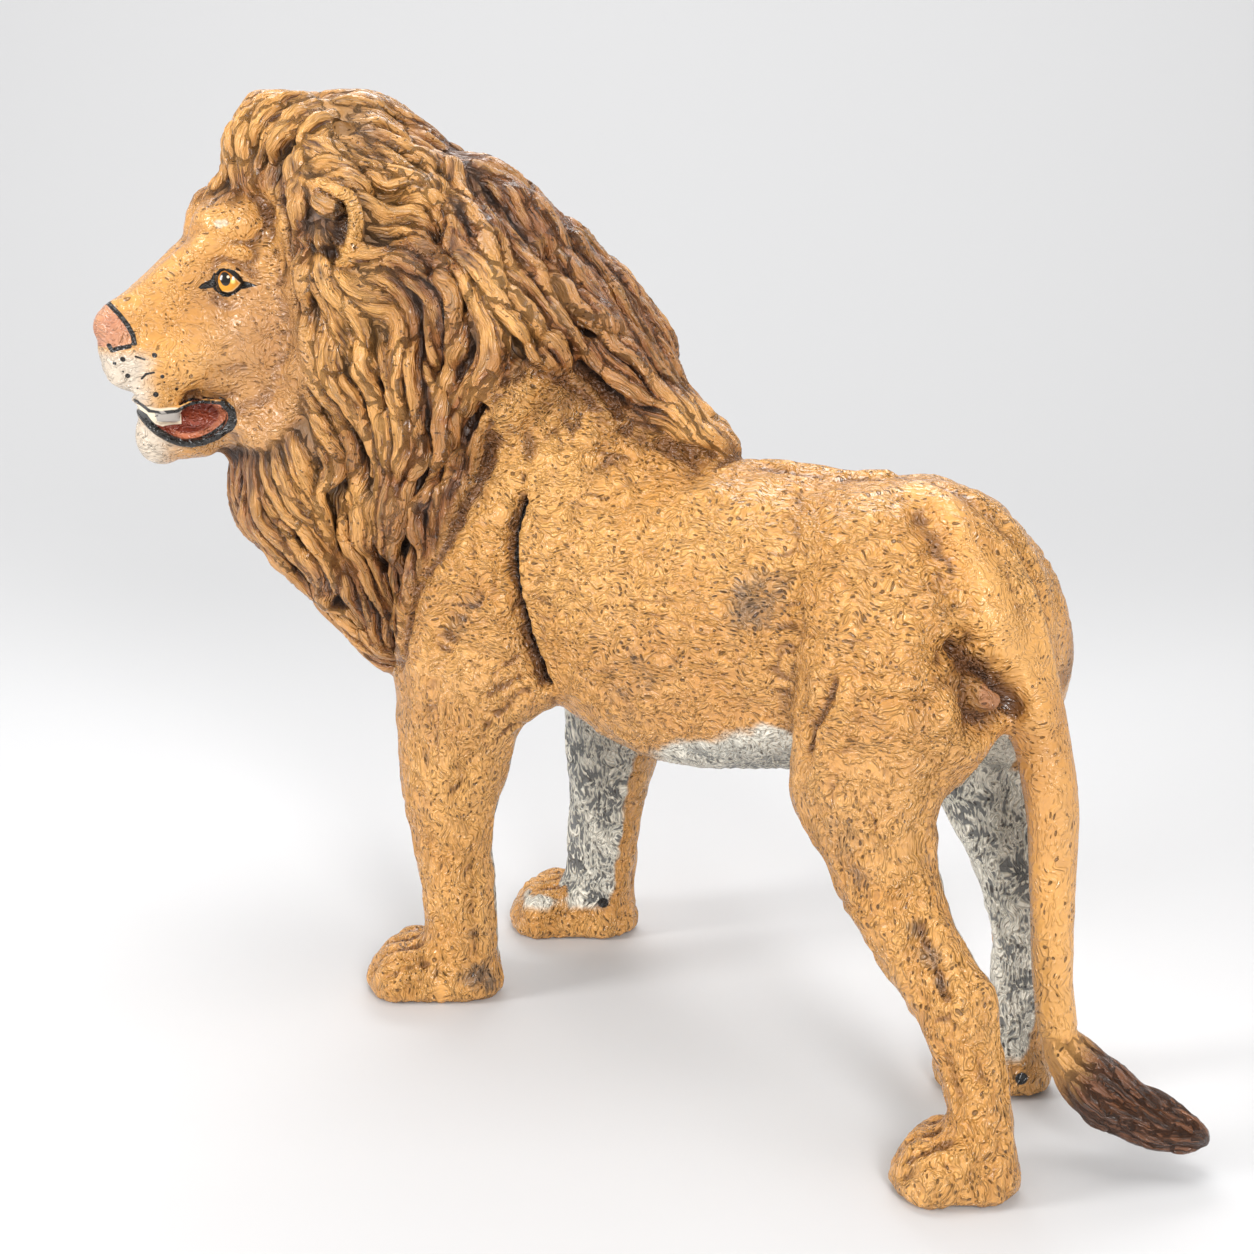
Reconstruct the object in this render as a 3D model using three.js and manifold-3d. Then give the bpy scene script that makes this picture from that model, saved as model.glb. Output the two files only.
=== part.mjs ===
// A cold-painted bronze lion, standing on four paws with its head turned to its left.
// It is one casting: the solid is modelled as a sculptor would, by adding round masses of
// clay to each other so that they flow together, and by cutting creases and openings.
// Sizes are in millimetres, +Z is up, the head is at -X and the lion's left side is at -Y.
// While it is modelled, X = 0 is under the front paws; the last lines move the origin to
// the middle of the underside.
import * as THREE from "three";
import { mergeVertices } from "three/addons/utils/BufferGeometryUtils.js";
import Module from "manifold-3d";

// Driving dimensions
const BACK = 98.5; // height of the back
const STRIDE = 109; // from the front paws to the left hind paw
const HIND_STEP = 12.8; // how far the right hind paw stands before the left one
const FRONT_STEP = 5; // how far the right elbow is behind the left one
const FRONT_TRACK = 18; // from the middle to a foreleg
const HIND_TRACK = 15.5; // from the middle to a hind leg
const PAW_TURN = THREE.MathUtils.degToRad(34); // the paws' turn to the left
const HEAD_TURN = THREE.MathUtils.degToRad(60); // the head's turn to the left
const NOSE = new THREE.Vector3(-47.6, -48, 115.3); // the tip of the nose
const LOCK_WIDE = 3.1; // half the width of a lock of the mane
const LOCK_GAP = 6.2; // least distance between the roots of two locks
const CELL = 1.5; // spacing of the points at which the clay is measured
const FACETS = 9600; // how many triangles the finished skin has

// Measures and joins the clay. `field` holds the distance to the surface at each grid point,
// negative inside.
class Clay {
  constructor(low, high, cell) {
    this.low = low;
    this.cell = cell;
    this.count = high.clone().sub(low).divideScalar(cell).ceil().addScalar(1);
    this.field = new Float32Array(this.count.x * this.count.y * this.count.z).fill(1e3);
  }

  index(i, j, k) {
    return (k * this.count.y + j) * this.count.x + i;
  }

  // Calls change(index, point) at the grid points of a box.
  visit(box, change) {
    const first = box.min.clone().sub(this.low).divideScalar(this.cell).floor().max(new THREE.Vector3());
    const last = box.max.clone().sub(this.low).divideScalar(this.cell).ceil();
    last.min(this.count.clone().subScalar(1));
    const point = new THREE.Vector3();
    for (let k = first.z; k <= last.z; k++)
      for (let j = first.y; j <= last.y; j++)
        for (let i = first.x; i <= last.x; i++) {
          point.set(i, j, k).multiplyScalar(this.cell).add(this.low);
          change(this.index(i, j, k), point);
        }
  }

  // Adds a mass of clay, smoothed over the width `blend` where it meets the rest.
  add(mass, blend) {
    this.visit(mass.box.clone().expandByScalar(blend + 2 * this.cell), (n, point) => {
      this.field[n] = smoothMin(this.field[n], mass.distance(point), blend);
    });
  }

  // Cuts a mass away.
  cut(mass, blend) {
    this.visit(mass.box.clone().expandByScalar(blend + 2 * this.cell), (n, point) => {
      this.field[n] = -smoothMin(-this.field[n], mass.distance(point), blend);
    });
  }

  // Adds all of another clay that is measured at the same points.
  merge(other, blend) {
    this.field.forEach((value, n) => {
      this.field[n] = smoothMin(value, other.field[n], blend);
    });
  }

  // The distance to the surface at any point, between the grid's points.
  at(point) {
    const p = point.clone().sub(this.low).divideScalar(this.cell);
    const base = p.clone().floor().clamp(new THREE.Vector3(), this.count.clone().subScalar(2));
    const f = p.sub(base);
    let sum = 0;
    for (let corner = 0; corner < 8; corner++) {
      const [di, dj, dk] = [corner & 1, (corner >> 1) & 1, corner >> 2];
      const share = (di ? f.x : 1 - f.x) * (dj ? f.y : 1 - f.y) * (dk ? f.z : 1 - f.z);
      sum += share * this.field[this.index(base.x + di, base.y + dj, base.z + dk)];
    }
    return sum;
  }

  // The direction out of the clay.
  normal(point) {
    const step = this.cell;
    const slope = (axis) =>
      this.at(point.clone().addScaledVector(axis, step)) - this.at(point.clone().addScaledVector(axis, -step));
    return new THREE.Vector3(
      slope(new THREE.Vector3(1, 0, 0)),
      slope(new THREE.Vector3(0, 1, 0)),
      slope(new THREE.Vector3(0, 0, 1)),
    ).normalize();
  }

  // Moves a point to the surface.
  settle(point) {
    for (let pass = 0; pass < 4; pass++) {
      point.addScaledVector(this.normal(point), -this.at(point));
    }
    return point;
  }

  // The surface as a closed mesh: each grid cell is split into six tetrahedra about its
  // diagonal, and the surface crosses a tetrahedron in one or two triangles.
  skin() {
    const corners = [0, 1, 2, 3, 4, 5, 6, 7].map((c) => [c & 1, (c >> 1) & 1, c >> 2]);
    const paths = [[1, 3], [3, 2], [2, 6], [6, 4], [4, 5], [5, 1]];
    const vertices = [];
    const faces = [];
    const known = new Map();
    const crossing = (a, b) => {
      const key = a < b ? a * this.field.length + b : b * this.field.length + a;
      if (!known.has(key)) {
        const [va, vb] = [this.field[a], this.field[b]];
        const share = THREE.MathUtils.clamp(va / (va - vb), 0.02, 0.98);
        const point = this.point(a).lerp(this.point(b), share);
        known.set(key, vertices.length / 3);
        vertices.push(point.x, point.y, point.z);
      }
      return known.get(key);
    };
    const { x: nx, y: ny, z: nz } = this.count;
    for (let k = 0; k < nz - 1; k++)
      for (let j = 0; j < ny - 1; j++)
        for (let i = 0; i < nx - 1; i++) {
          const ids = corners.map(([a, b, c]) => this.index(i + a, j + b, k + c));
          const inside = ids.filter((id) => this.field[id] < 0).length;
          if (inside === 0 || inside === 8) continue;
          for (const [m, n] of paths) this.crossTetrahedron([ids[0], ids[m], ids[n], ids[7]], crossing, faces);
        }
    const geometry = new THREE.BufferGeometry();
    geometry.setAttribute("position", new THREE.Float32BufferAttribute(vertices, 3));
    geometry.setIndex(faces);
    return geometry;
  }

  point(id) {
    const { x: nx, y: ny } = this.count;
    const i = id % nx;
    const j = Math.floor(id / nx) % ny;
    const k = Math.floor(id / (nx * ny));
    return new THREE.Vector3(i, j, k).multiplyScalar(this.cell).add(this.low);
  }

  // `tetra` lists its corners so that it is right-handed.
  crossTetrahedron(tetra, crossing, faces) {
    const inside = tetra.filter((id) => this.field[id] < 0);
    const outside = tetra.filter((id) => this.field[id] >= 0);
    if (!inside.length || !outside.length) return;
    const order = [...inside, ...outside].map((id) => tetra.indexOf(id));
    let swaps = 0;
    for (let a = 0; a < 4; a++)
      for (let b = a + 1; b < 4; b++)
        if (order[a] > order[b]) swaps++;
    const turn = (ring) => (swaps % 2 ? ring.reverse() : ring);
    const [p, q, r, s] = [...inside, ...outside];
    if (inside.length === 1) {
      faces.push(...turn([crossing(p, q), crossing(p, r), crossing(p, s)]));
    } else if (inside.length === 3) {
      faces.push(...turn([crossing(p, s), crossing(q, s), crossing(r, s)]));
    } else {
      const ring = turn([crossing(p, r), crossing(p, s), crossing(q, s), crossing(q, r)]);
      faces.push(ring[0], ring[1], ring[2], ring[0], ring[2], ring[3]);
    }
  }
}

function smoothMin(a, b, width) {
  const h = Math.max(width - Math.abs(a - b), 0);
  return Math.min(a, b) - (h * h) / (4 * Math.max(width, 1e-6));
}

// A cube with its middle and half its side.
function cubeRound(middle, half) {
  return new THREE.Box3().setFromCenterAndSize(middle, new THREE.Vector3().setScalar(2 * half));
}

// A round bar that follows a smooth curve through its stations. Each station is
// [x, y, z, deep, wide]: `wide` is its half-width along `side`, `deep` its half-width across.
function bar(stations, { side = new THREE.Vector3(0, 1, 0), frame = null, steps = 5 } = {}) {
  const place = (s) => {
    const p = new THREE.Vector3(s[0], s[1], s[2]);
    return frame ? p.applyMatrix4(frame) : p;
  };
  const wideways = frame ? side.clone().transformDirection(frame) : side;
  const line = new THREE.CatmullRomCurve3(stations.map(place), false, "centripetal");
  const sizes = new THREE.CatmullRomCurve3(stations.map((s) => new THREE.Vector3(s[3], s[4] ?? s[3], 0)));
  const count = steps * (stations.length - 1);
  const pieces = [];
  const box = new THREE.Box3();
  for (let n = 0; n < count; n++) {
    const [a, b] = [line.getPoint(n / count), line.getPoint((n + 1) / count)];
    const [ra, rb] = [sizes.getPoint(n / count), sizes.getPoint((n + 1) / count)];
    const along = b.clone().sub(a);
    const wide = wideways.clone().addScaledVector(along, -wideways.dot(along) / along.lengthSq()).normalize();
    const deep = along.clone().cross(wide).normalize();
    pieces.push({ a, along, ra, rb, wide, deep, lengthSq: along.lengthSq(), axis: along.clone().normalize() });
    for (const [p, r] of [[a, ra], [b, rb]]) box.union(cubeRound(p, Math.max(r.x, r.y)));
  }
  const q = new THREE.Vector3();
  const distance = (point) => {
    let nearest = Infinity;
    for (const s of pieces) {
      q.subVectors(point, s.a);
      const t = Math.min(Math.max(q.dot(s.along) / s.lengthSq, 0), 1);
      q.addScaledVector(s.along, -t);
      const deep = s.ra.x + (s.rb.x - s.ra.x) * t;
      const wide = s.ra.y + (s.rb.y - s.ra.y) * t;
      const u = q.dot(s.wide) / wide;
      const v = q.dot(s.deep) / deep;
      const w = (2 * q.dot(s.axis)) / (wide + deep);
      const away = roundDistance(q.length(), Math.sqrt(u * u + v * v + w * w), Math.min(deep, wide));
      nearest = Math.min(nearest, away);
    }
    return nearest;
  };
  return { box, distance };
}

// An egg-shaped mass with its three half-sizes, turned by a rotation matrix if one is given.
function egg(centre, half, { frame = null, turn = new THREE.Euler() } = {}) {
  const matrix = new THREE.Matrix4().makeRotationFromEuler(turn).setPosition(new THREE.Vector3(...centre));
  if (frame) matrix.premultiply(frame);
  const back = matrix.clone().invert();
  const sizes = new THREE.Vector3(...half);
  const middle = new THREE.Vector3().setFromMatrixPosition(matrix);
  const box = cubeRound(middle, Math.max(...half));
  const q = new THREE.Vector3();
  const least = Math.min(...half);
  const distance = (point) => {
    q.copy(point).applyMatrix4(back);
    const reach = q.length();
    return roundDistance(reach, q.divide(sizes).length(), least);
  };
  return { box, distance };
}

// How far a point is from an ellipse or ellipsoid, measured towards its centre.
function roundDistance(reach, share, least) {
  return share < 1e-4 ? -least : reach * (1 - 1 / share);
}

// The head's own frame: +X runs back from the tip of the nose, +Y to the lion's right, +Z up.
function headFrame() {
  const back = new THREE.Vector3(Math.cos(HEAD_TURN), Math.sin(HEAD_TURN), 0);
  const up = new THREE.Vector3(0, 0, 1);
  return new THREE.Matrix4().makeBasis(back, up.clone().cross(back), up).setPosition(NOSE);
}
const HEAD = headFrame();

function addTrunk(clay) {
  clay.add(
    bar([
      [4, 0, BACK - 24, 21, 15],
      [18, 0, BACK - 22.5, 22, 18.5],
      [34, 0, BACK - 23.5, 23, 20],
      [52, 0, BACK - 25.2, 24.2, 19.5],
      [68, 0, BACK - 23.6, 22.6, 17.5],
      [80, 0, BACK - 18.5, 18, 15.5],
      [89, 0, BACK - 17, 16, 13],
    ]),
    1,
  );
  for (const s of [-1, 1]) {
    clay.add(egg([84, 8 * s, BACK - 10], [10, 7.5, 8.6]), 6); // point of the hip
    clay.add(egg([93, 9.2 * s, BACK - 26], [11.6, 9, 17]), 6); // buttock
    clay.add(egg([44, 11 * s, BACK - 36], [20, 8, 11]), 10); // belly wall
  }
  clay.add(egg([98.5, 0, BACK - 29], [3, 3.2, 4]), 1.5); // below the tail
}

function addForeleg(clay, s) {
  const y = FRONT_TRACK * s;
  const step = s > 0 ? FRONT_STEP : 0;
  // shoulder blade and upper arm
  clay.add(
    bar([
      [24, 12 * s, BACK - 4, 7, 5.5],
      [17, 15.5 * s, BACK - 16, 12, 7],
      [8 + 0.5 * step, 17 * s, BACK - 29, 14, 8],
      [6 + step, 17 * s, BACK - 38, 13.4, 8.6],
    ]),
    4,
  );
  // elbow
  clay.add(egg([18 + step, 17 * s, 60], [7.5, 6, 8.5]), 4);
  // forearm down to the wrist
  clay.add(
    bar([
      [7 + step, y, 60, 13.4, 8.8],
      [4.8 + step, y, 46, 11.2, 8.4],
      [3.3 + step, y, 36, 9, 7.3],
      [3.7 + 0.7 * step, y, 27, 7.7, 6.2],
      [5 + 0.25 * step, y, 18, 7, 5.9],
      [5.5, y, 10, 6.6, 6.2],
    ]),
    4,
  );
  addPaw(clay, 4.6, y - 0.5, { ahead: 15, behind: 7.2, wide: 8, high: 9.6 });
}

// A paw round the ankle at (x, y): a pad and four toes, `wide` to each side of its middle.
function addPaw(clay, x, y, { ahead, behind, wide, high }) {
  const inPaw = { frame: new THREE.Matrix4().makeRotationZ(PAW_TURN).setPosition(x, y, 0) };
  clay.add(bar([[5 - ahead, 0, 2, 5.6, wide - 0.6], [behind - 6, 0, 2.4, 7.6, wide - 1.2]], inPaw), 2);
  const toe = wide / 3.4;
  for (let n = 0; n < 4; n++) {
    const across = (n - 1.5) * 2 * toe * 0.84;
    const front = n === 1 || n === 2 ? -ahead : 1.6 - ahead;
    clay.add(
      bar([
        [front + 7.6, across * 0.8, high - 2.4, 2.6, toe],
        [front + 4.2, across, high - 3.6, 3.4, toe + 0.2],
        [front + 3.2, across, 2, 3.6, toe + 0.1],
      ], inPaw),
      0.8,
    );
  }
}

function addHindleg(clay, s) {
  const y = HIND_TRACK * s;
  const step = s > 0 ? HIND_STEP : 0;
  clay.add(
    bar([
      [86.5, 11 * s, BACK - 18, 13, 8],
      [87.5, 14 * s, 70, 13, 8.6],
      [87, 15 * s, 57, 11.4, 8.4],
      [89, y, 49.6, 9.4, 7.4],
      [92 + 0.05 * step, y, 42, 7.8, 6.4],
      [97 - 0.15 * step, y, 34.6, 6.6, 5.6],
      [102.8 - 0.42 * step, y, 27.4, 6.2, 5],
      [106 - 0.72 * step, y, 20.4, 5.4, 4.4],
      [109 - step, y, 10, 4.7, 4.5],
    ]),
    4,
  );
  clay.add(egg([106.6 - 0.45 * step, y, 28], [3.4, 3, 4.4]), 3); // point of the hock
  clay.add(egg([81, 15.5 * s, 55.5], [5, 5.4, 8]), 4); // knee
  addPaw(clay, STRIDE - step, y - 0.5, { ahead: 12, behind: 5.6, wide: 7.2, high: 9.4 });
}

function addTail(clay) {
  clay.add(
    bar([
      [80, 0, BACK - 6, 4, 5],
      [91, 0, BACK - 5.5, 4.4, 5],
      [98, 0, BACK - 11, 4.6, 4.6],
      [101.5, 0, 80, 4.4, 4.4],
      [105.3, 0, 67, 4.2, 4.2],
      [108.4, 0, 55, 4, 4],
      [109.4, 0, 40, 3.4, 3.4],
      [110.4, 0.3, 25, 3.1, 3.1],
      [112.6, 1, 16.5, 3.3, 3.3],
      [117.4, 3, 11, 4.2, 4.2],
      [124, 6.5, 7.6, 4.4, 4.4],
      [128.6, 9, 6, 3.2, 3.2],
      [130.8, 10.2, 5.6, 1.4, 1.4],
    ]),
    3,
  );
  // strands of the tuft
  const strands = 7;
  for (let n = 0; n < strands; n++) {
    const spot = (along, out) => {
      const angle = (2 * Math.PI * n) / strands + 0.5 * along;
      const [side, up] = [Math.cos(angle) * out, Math.sin(angle) * out];
      return [115 + 15 * along - 0.46 * side, 2 + 8 * along + 0.88 * side, 13.4 - 7.4 * along ** 0.6 + up];
    };
    clay.add(
      bar([0, 0.35, 0.7, 1].map((along) => [...spot(along, 3.4 - 2.2 * along * along), 1.5 - 0.7 * along])),
      0.8,
    );
  }
}

function addNeck(clay) {
  clay.add(
    bar([
      [24, 0, BACK - 16, 17, 16],
      [6, -3, BACK + 3, 22, 17],
      [-10, -11, BACK + 14, 22, 17],
      [-24, -17, BACK + 22, 16, 14],
    ]),
    6,
  );
}

function addHead(clay) {
  const inHead = { frame: HEAD };
  const mass = (centre, half, blend) => clay.add(egg(centre, half, inHead), blend);
  const bow = (stations, blend) => clay.add(bar(stations, inHead), blend);
  mass([35, 0, 6], [14, 13, 15], 4); // skull
  mass([26, 0, 14], [9, 9.4, 10], 4); // forehead
  // muzzle, with a broad bridge
  bow([[6.2, 0, -5, 7, 6], [12, 0, -3, 9.6, 7.2], [21, 0, 0, 12, 9.6]], 4);
  mass([17, 0, -14], [9, 5.6, 5], 1); // between the jaws
  for (const s of [-1, 1]) {
    bow([[5.6, 2 * s, 0.6, 3.4, 3.4], [11, 2.6 * s, 4.8, 3.8, 3.8], [17, 3.6 * s, 9, 4.6, 4.6]], 2);
    mass([9.6, 4.8 * s, -6.8], [6.4, 4.4, 5.4], 1.5); // upper lip
    mass([17.6, 7.6 * s, -6], [8, 4.6, 5.8], 3);
    mass([19.8, 7.6 * s, 13.4], [4.4, 3.2, 2.6], 2.5); // brow
    mass([28, 11 * s, -2], [8, 5.6, 9.5], 4); // cheek
    clay.cut(egg([20.6, 12.4 * s, 8], [4, 3.4, 2.8], inHead), 1.6); // eye socket
    mass([21.8, 9.6 * s, 8], [2.8, 2, 2.3], 0.2); // eyeball
  }
  mass([2.8, 0, -0.4], [3, 4.5, 4], 0.6); // nose
  bow([[9.6, 0, -19.2, 4.9, 4.6], [17, 0, -19.4, 4.2, 7], [28, 0, -16, 6, 10]], 1.2); // lower jaw
  for (const s of [-1, 1]) {
    // the open mouth, a hollow in each cheek, and the thin gap between the lips before it
    clay.cut(egg([17, 11.4 * s, -14.4], [5.6, 6, 3.1], inHead), 0.5);
    clay.cut(bar([[4, 4 * s, -13.6, 0.8, 3], [12, 7.5 * s, -13.8, 0.9, 3]], inHead), 0.3);
  }
}

// The middle of an ear, in the head's frame.
function earPlace(s) {
  return new THREE.Vector3(38, 26.5 * s, 16.6);
}

// An ear: a cup that opens forwards and outwards.
function addEar(clay, s) {
  const turn = new THREE.Euler(0, 0, -0.7 * s);
  clay.add(egg(earPlace(s).toArray(), [3.6, 5, 7.2], { frame: HEAD, turn }), 1.2);
  const hollow = earPlace(s).add(new THREE.Vector3(-2.8, 2.2 * s, -0.2));
  clay.cut(egg(hollow.toArray(), [3.4, 3.6, 5.4], { frame: HEAD, turn }), 0.6);
}

// The mane's own mass, on which its locks lie.
function addMane(clay) {
  const inHead = { frame: HEAD };
  clay.add(egg([32, 0, 25.5], [8.4, 10.5, 8.6], inHead), 3); // over the forehead
  clay.add(egg([43, 0, 24], [11.5, 13, 11.5], inHead), 4); // crown
  // the right side of the neck, stretched by the turn of the head
  clay.add(
    bar([[-31, -2, 134, 11, 11], [-29, 3, 119, 13, 13], [-26, 1, 102, 12, 12], [-22, -2, 86, 10, 10]]),
    5,
  );
  for (const s of [-1, 1]) {
    // around the face
    clay.add(
      bar([
        [36, 8 * s, 28, 8, 8],
        [39, 16 * s, 20, 9, 8],
        [39, 19 * s, 4, 9, 8],
        [37, 17 * s, -12, 9, 8],
        [33, 11 * s, -24, 8, 8],
        [32, 3 * s, -30, 8, 8],
      ], inHead),
      5,
    );
    // down the side of the neck to the chest
    clay.add(
      bar([
        [-10, 17 * s - 5, 120, 12, 8],
        [-3, 19 * s, 104, 14, 7],
        [-4, 18.5 * s, 90, 13, 7],
        [-10, 13 * s, 76, 10, 7],
        [-15, 7 * s - 2, 64, 7, 7],
      ]),
      5,
    );
    // back over the shoulder, lower on the right side
    const drop = s > 0 ? 8 : 0;
    clay.add(
      bar([
        [-14, 17 * s - 5, 129 - drop, 10, 8],
        [4, 14 * s - 2, 121.5 - drop, 10.5, 8],
        [16, 13.5 * s, 113.5 - drop, 8, 7],
        [18, 15.5 * s, 105.5 - 0.4 * drop, 5, 5],
      ]),
      5,
    );
  }
  // crest, from the crown back to the withers
  clay.add(
    bar([
      [-28, -16, 136, 12, 12],
      [-15, -10, 132.5, 12, 12],
      [-3, -5, 126, 13, 13],
      [9, -1, 114, 14, 13.5],
      [20, 0, 106.5, 13, 12.5],
      [31, 0, 98.5, 10, 10],
      [41, 0, 93.5, 6, 7],
    ]),
    6,
  );
  // from under the chin down the chest
  clay.add(
    bar([
      [-29, -23, 101, 12, 12.5],
      [-27, -19.5, 89, 11, 12.5],
      [-20.5, -14, 78, 10.5, 12.5],
      [-20, -9.5, 67.5, 8, 10.5],
      [-18, -8, 61.5, 5, 6.5],
    ]),
    6,
  );
}

// Where the hair gathers: the tip on the chest, the shoulders and the withers.
const GATHERS = [
  new THREE.Vector3(-14, -8, 44),
  new THREE.Vector3(24, -21, 96),
  new THREE.Vector3(24, 21, 96),
  new THREE.Vector3(54, 0, 94),
];

// The way the hair falls at a point of the mane: away from the face, and towards where it gathers.
function hairFlow(point) {
  const flow = new THREE.Vector3();
  const face = new THREE.Vector3(24, 0, 2).applyMatrix4(HEAD);
  const away = point.clone().sub(face);
  flow.addScaledVector(away, 1 / away.length() ** 4);
  for (const gather of GATHERS) {
    const way = gather.clone().sub(point);
    flow.addScaledVector(way, 1 / way.length() ** 4);
  }
  return flow.normalize();
}

// Lays locks of hair on the mane, each from a root of its own down the flow of the hair.
function addLocks(clay, mane) {
  const random = seededRandom(7);
  const roots = [];
  const ears = [-1, 1].map((s) => earPlace(s).applyMatrix4(HEAD));
  const onMane = (point) => mane.at(point) < 1.2 && ears.every((ear) => ear.distanceTo(point) > 7);
  const spine = new THREE.CatmullRomCurve3([
    new THREE.Vector3(-24, -14, 122),
    new THREE.Vector3(-12, -9, 104),
    new THREE.Vector3(4, -3, 96),
    new THREE.Vector3(34, 0, 90),
  ]);
  const locks = [];
  for (let tries = 0; tries < 1500; tries++) {
    const root = spine.getPoint(random());
    const aim = new THREE.Vector3(random() - 0.5, random() - 0.5, random() - 0.5).normalize();
    while (clay.at(root) < 0) root.addScaledVector(aim, CELL);
    clay.settle(root);
    if (!onMane(root) || roots.some((other) => other.distanceTo(root) < LOCK_GAP)) continue;
    roots.push(root);
    const sway = 2 * Math.PI * random();
    const length = 22 + 10 * random();
    const lock = layLock(clay, root, sway, length, onMane);
    if (lock.length > 3) locks.push(lock);
  }
  for (const lock of locks) clay.add(bar(lock, { steps: 2 }), 0.7);
}

// The stations of one lock: its root is sunk in the mane and its tip lies on it.
function layLock(clay, root, sway, length, onMane) {
  const point = root.clone();
  const stations = [];
  const count = 8;
  for (let n = 0; n < count && onMane(point); n++) {
    const along = n / (count - 1);
    const normal = clay.normal(point);
    const half = LOCK_WIDE * (0.55 + 0.6 * Math.sin(Math.PI * Math.min(1, along * 0.9 + 0.1)));
    const lift = half * (0.45 * along - 0.5);
    const centre = point.clone().addScaledVector(normal, lift);
    stations.push([...centre.toArray(), half, half]);
    const way = hairFlow(point);
    const side = normal.clone().cross(way).normalize();
    way.addScaledVector(side, 0.45 * Math.sin(sway + 5 * along)).addScaledVector(normal, -normal.dot(way));
    point.addScaledVector(way.normalize(), length / count);
    clay.settle(point);
  }
  return stations;
}

// Numbers from 0 to 1 that look random and are the same every time.
function seededRandom(seed) {
  let state = seed;
  return () => {
    state = (state * 1664525 + 1013904223) % 4294967296;
    return state / 4294967296;
  };
}

// The crease behind the shoulder and the fold before the knee.
function cutCreases(clay) {
  for (const s of [-1, 1]) {
    const lines = [
      [[26, 102], [22, 93], [21, 83], [21.5, 73.5], [24.5, 66], [28, 60]],
      [[77, 72], [79.5, 66], [82.5, 60]],
    ];
    for (const line of lines) {
      const stations = line.map(([x, z], n) => {
        const place = clay.settle(new THREE.Vector3(x, 24 * s, z));
        const half = n === 0 || n === line.length - 1 ? 0.5 : 1.1;
        return [place.x, place.y, place.z, half, half];
      });
      clay.cut(bar(stations), 2);
    }
  }
}

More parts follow.
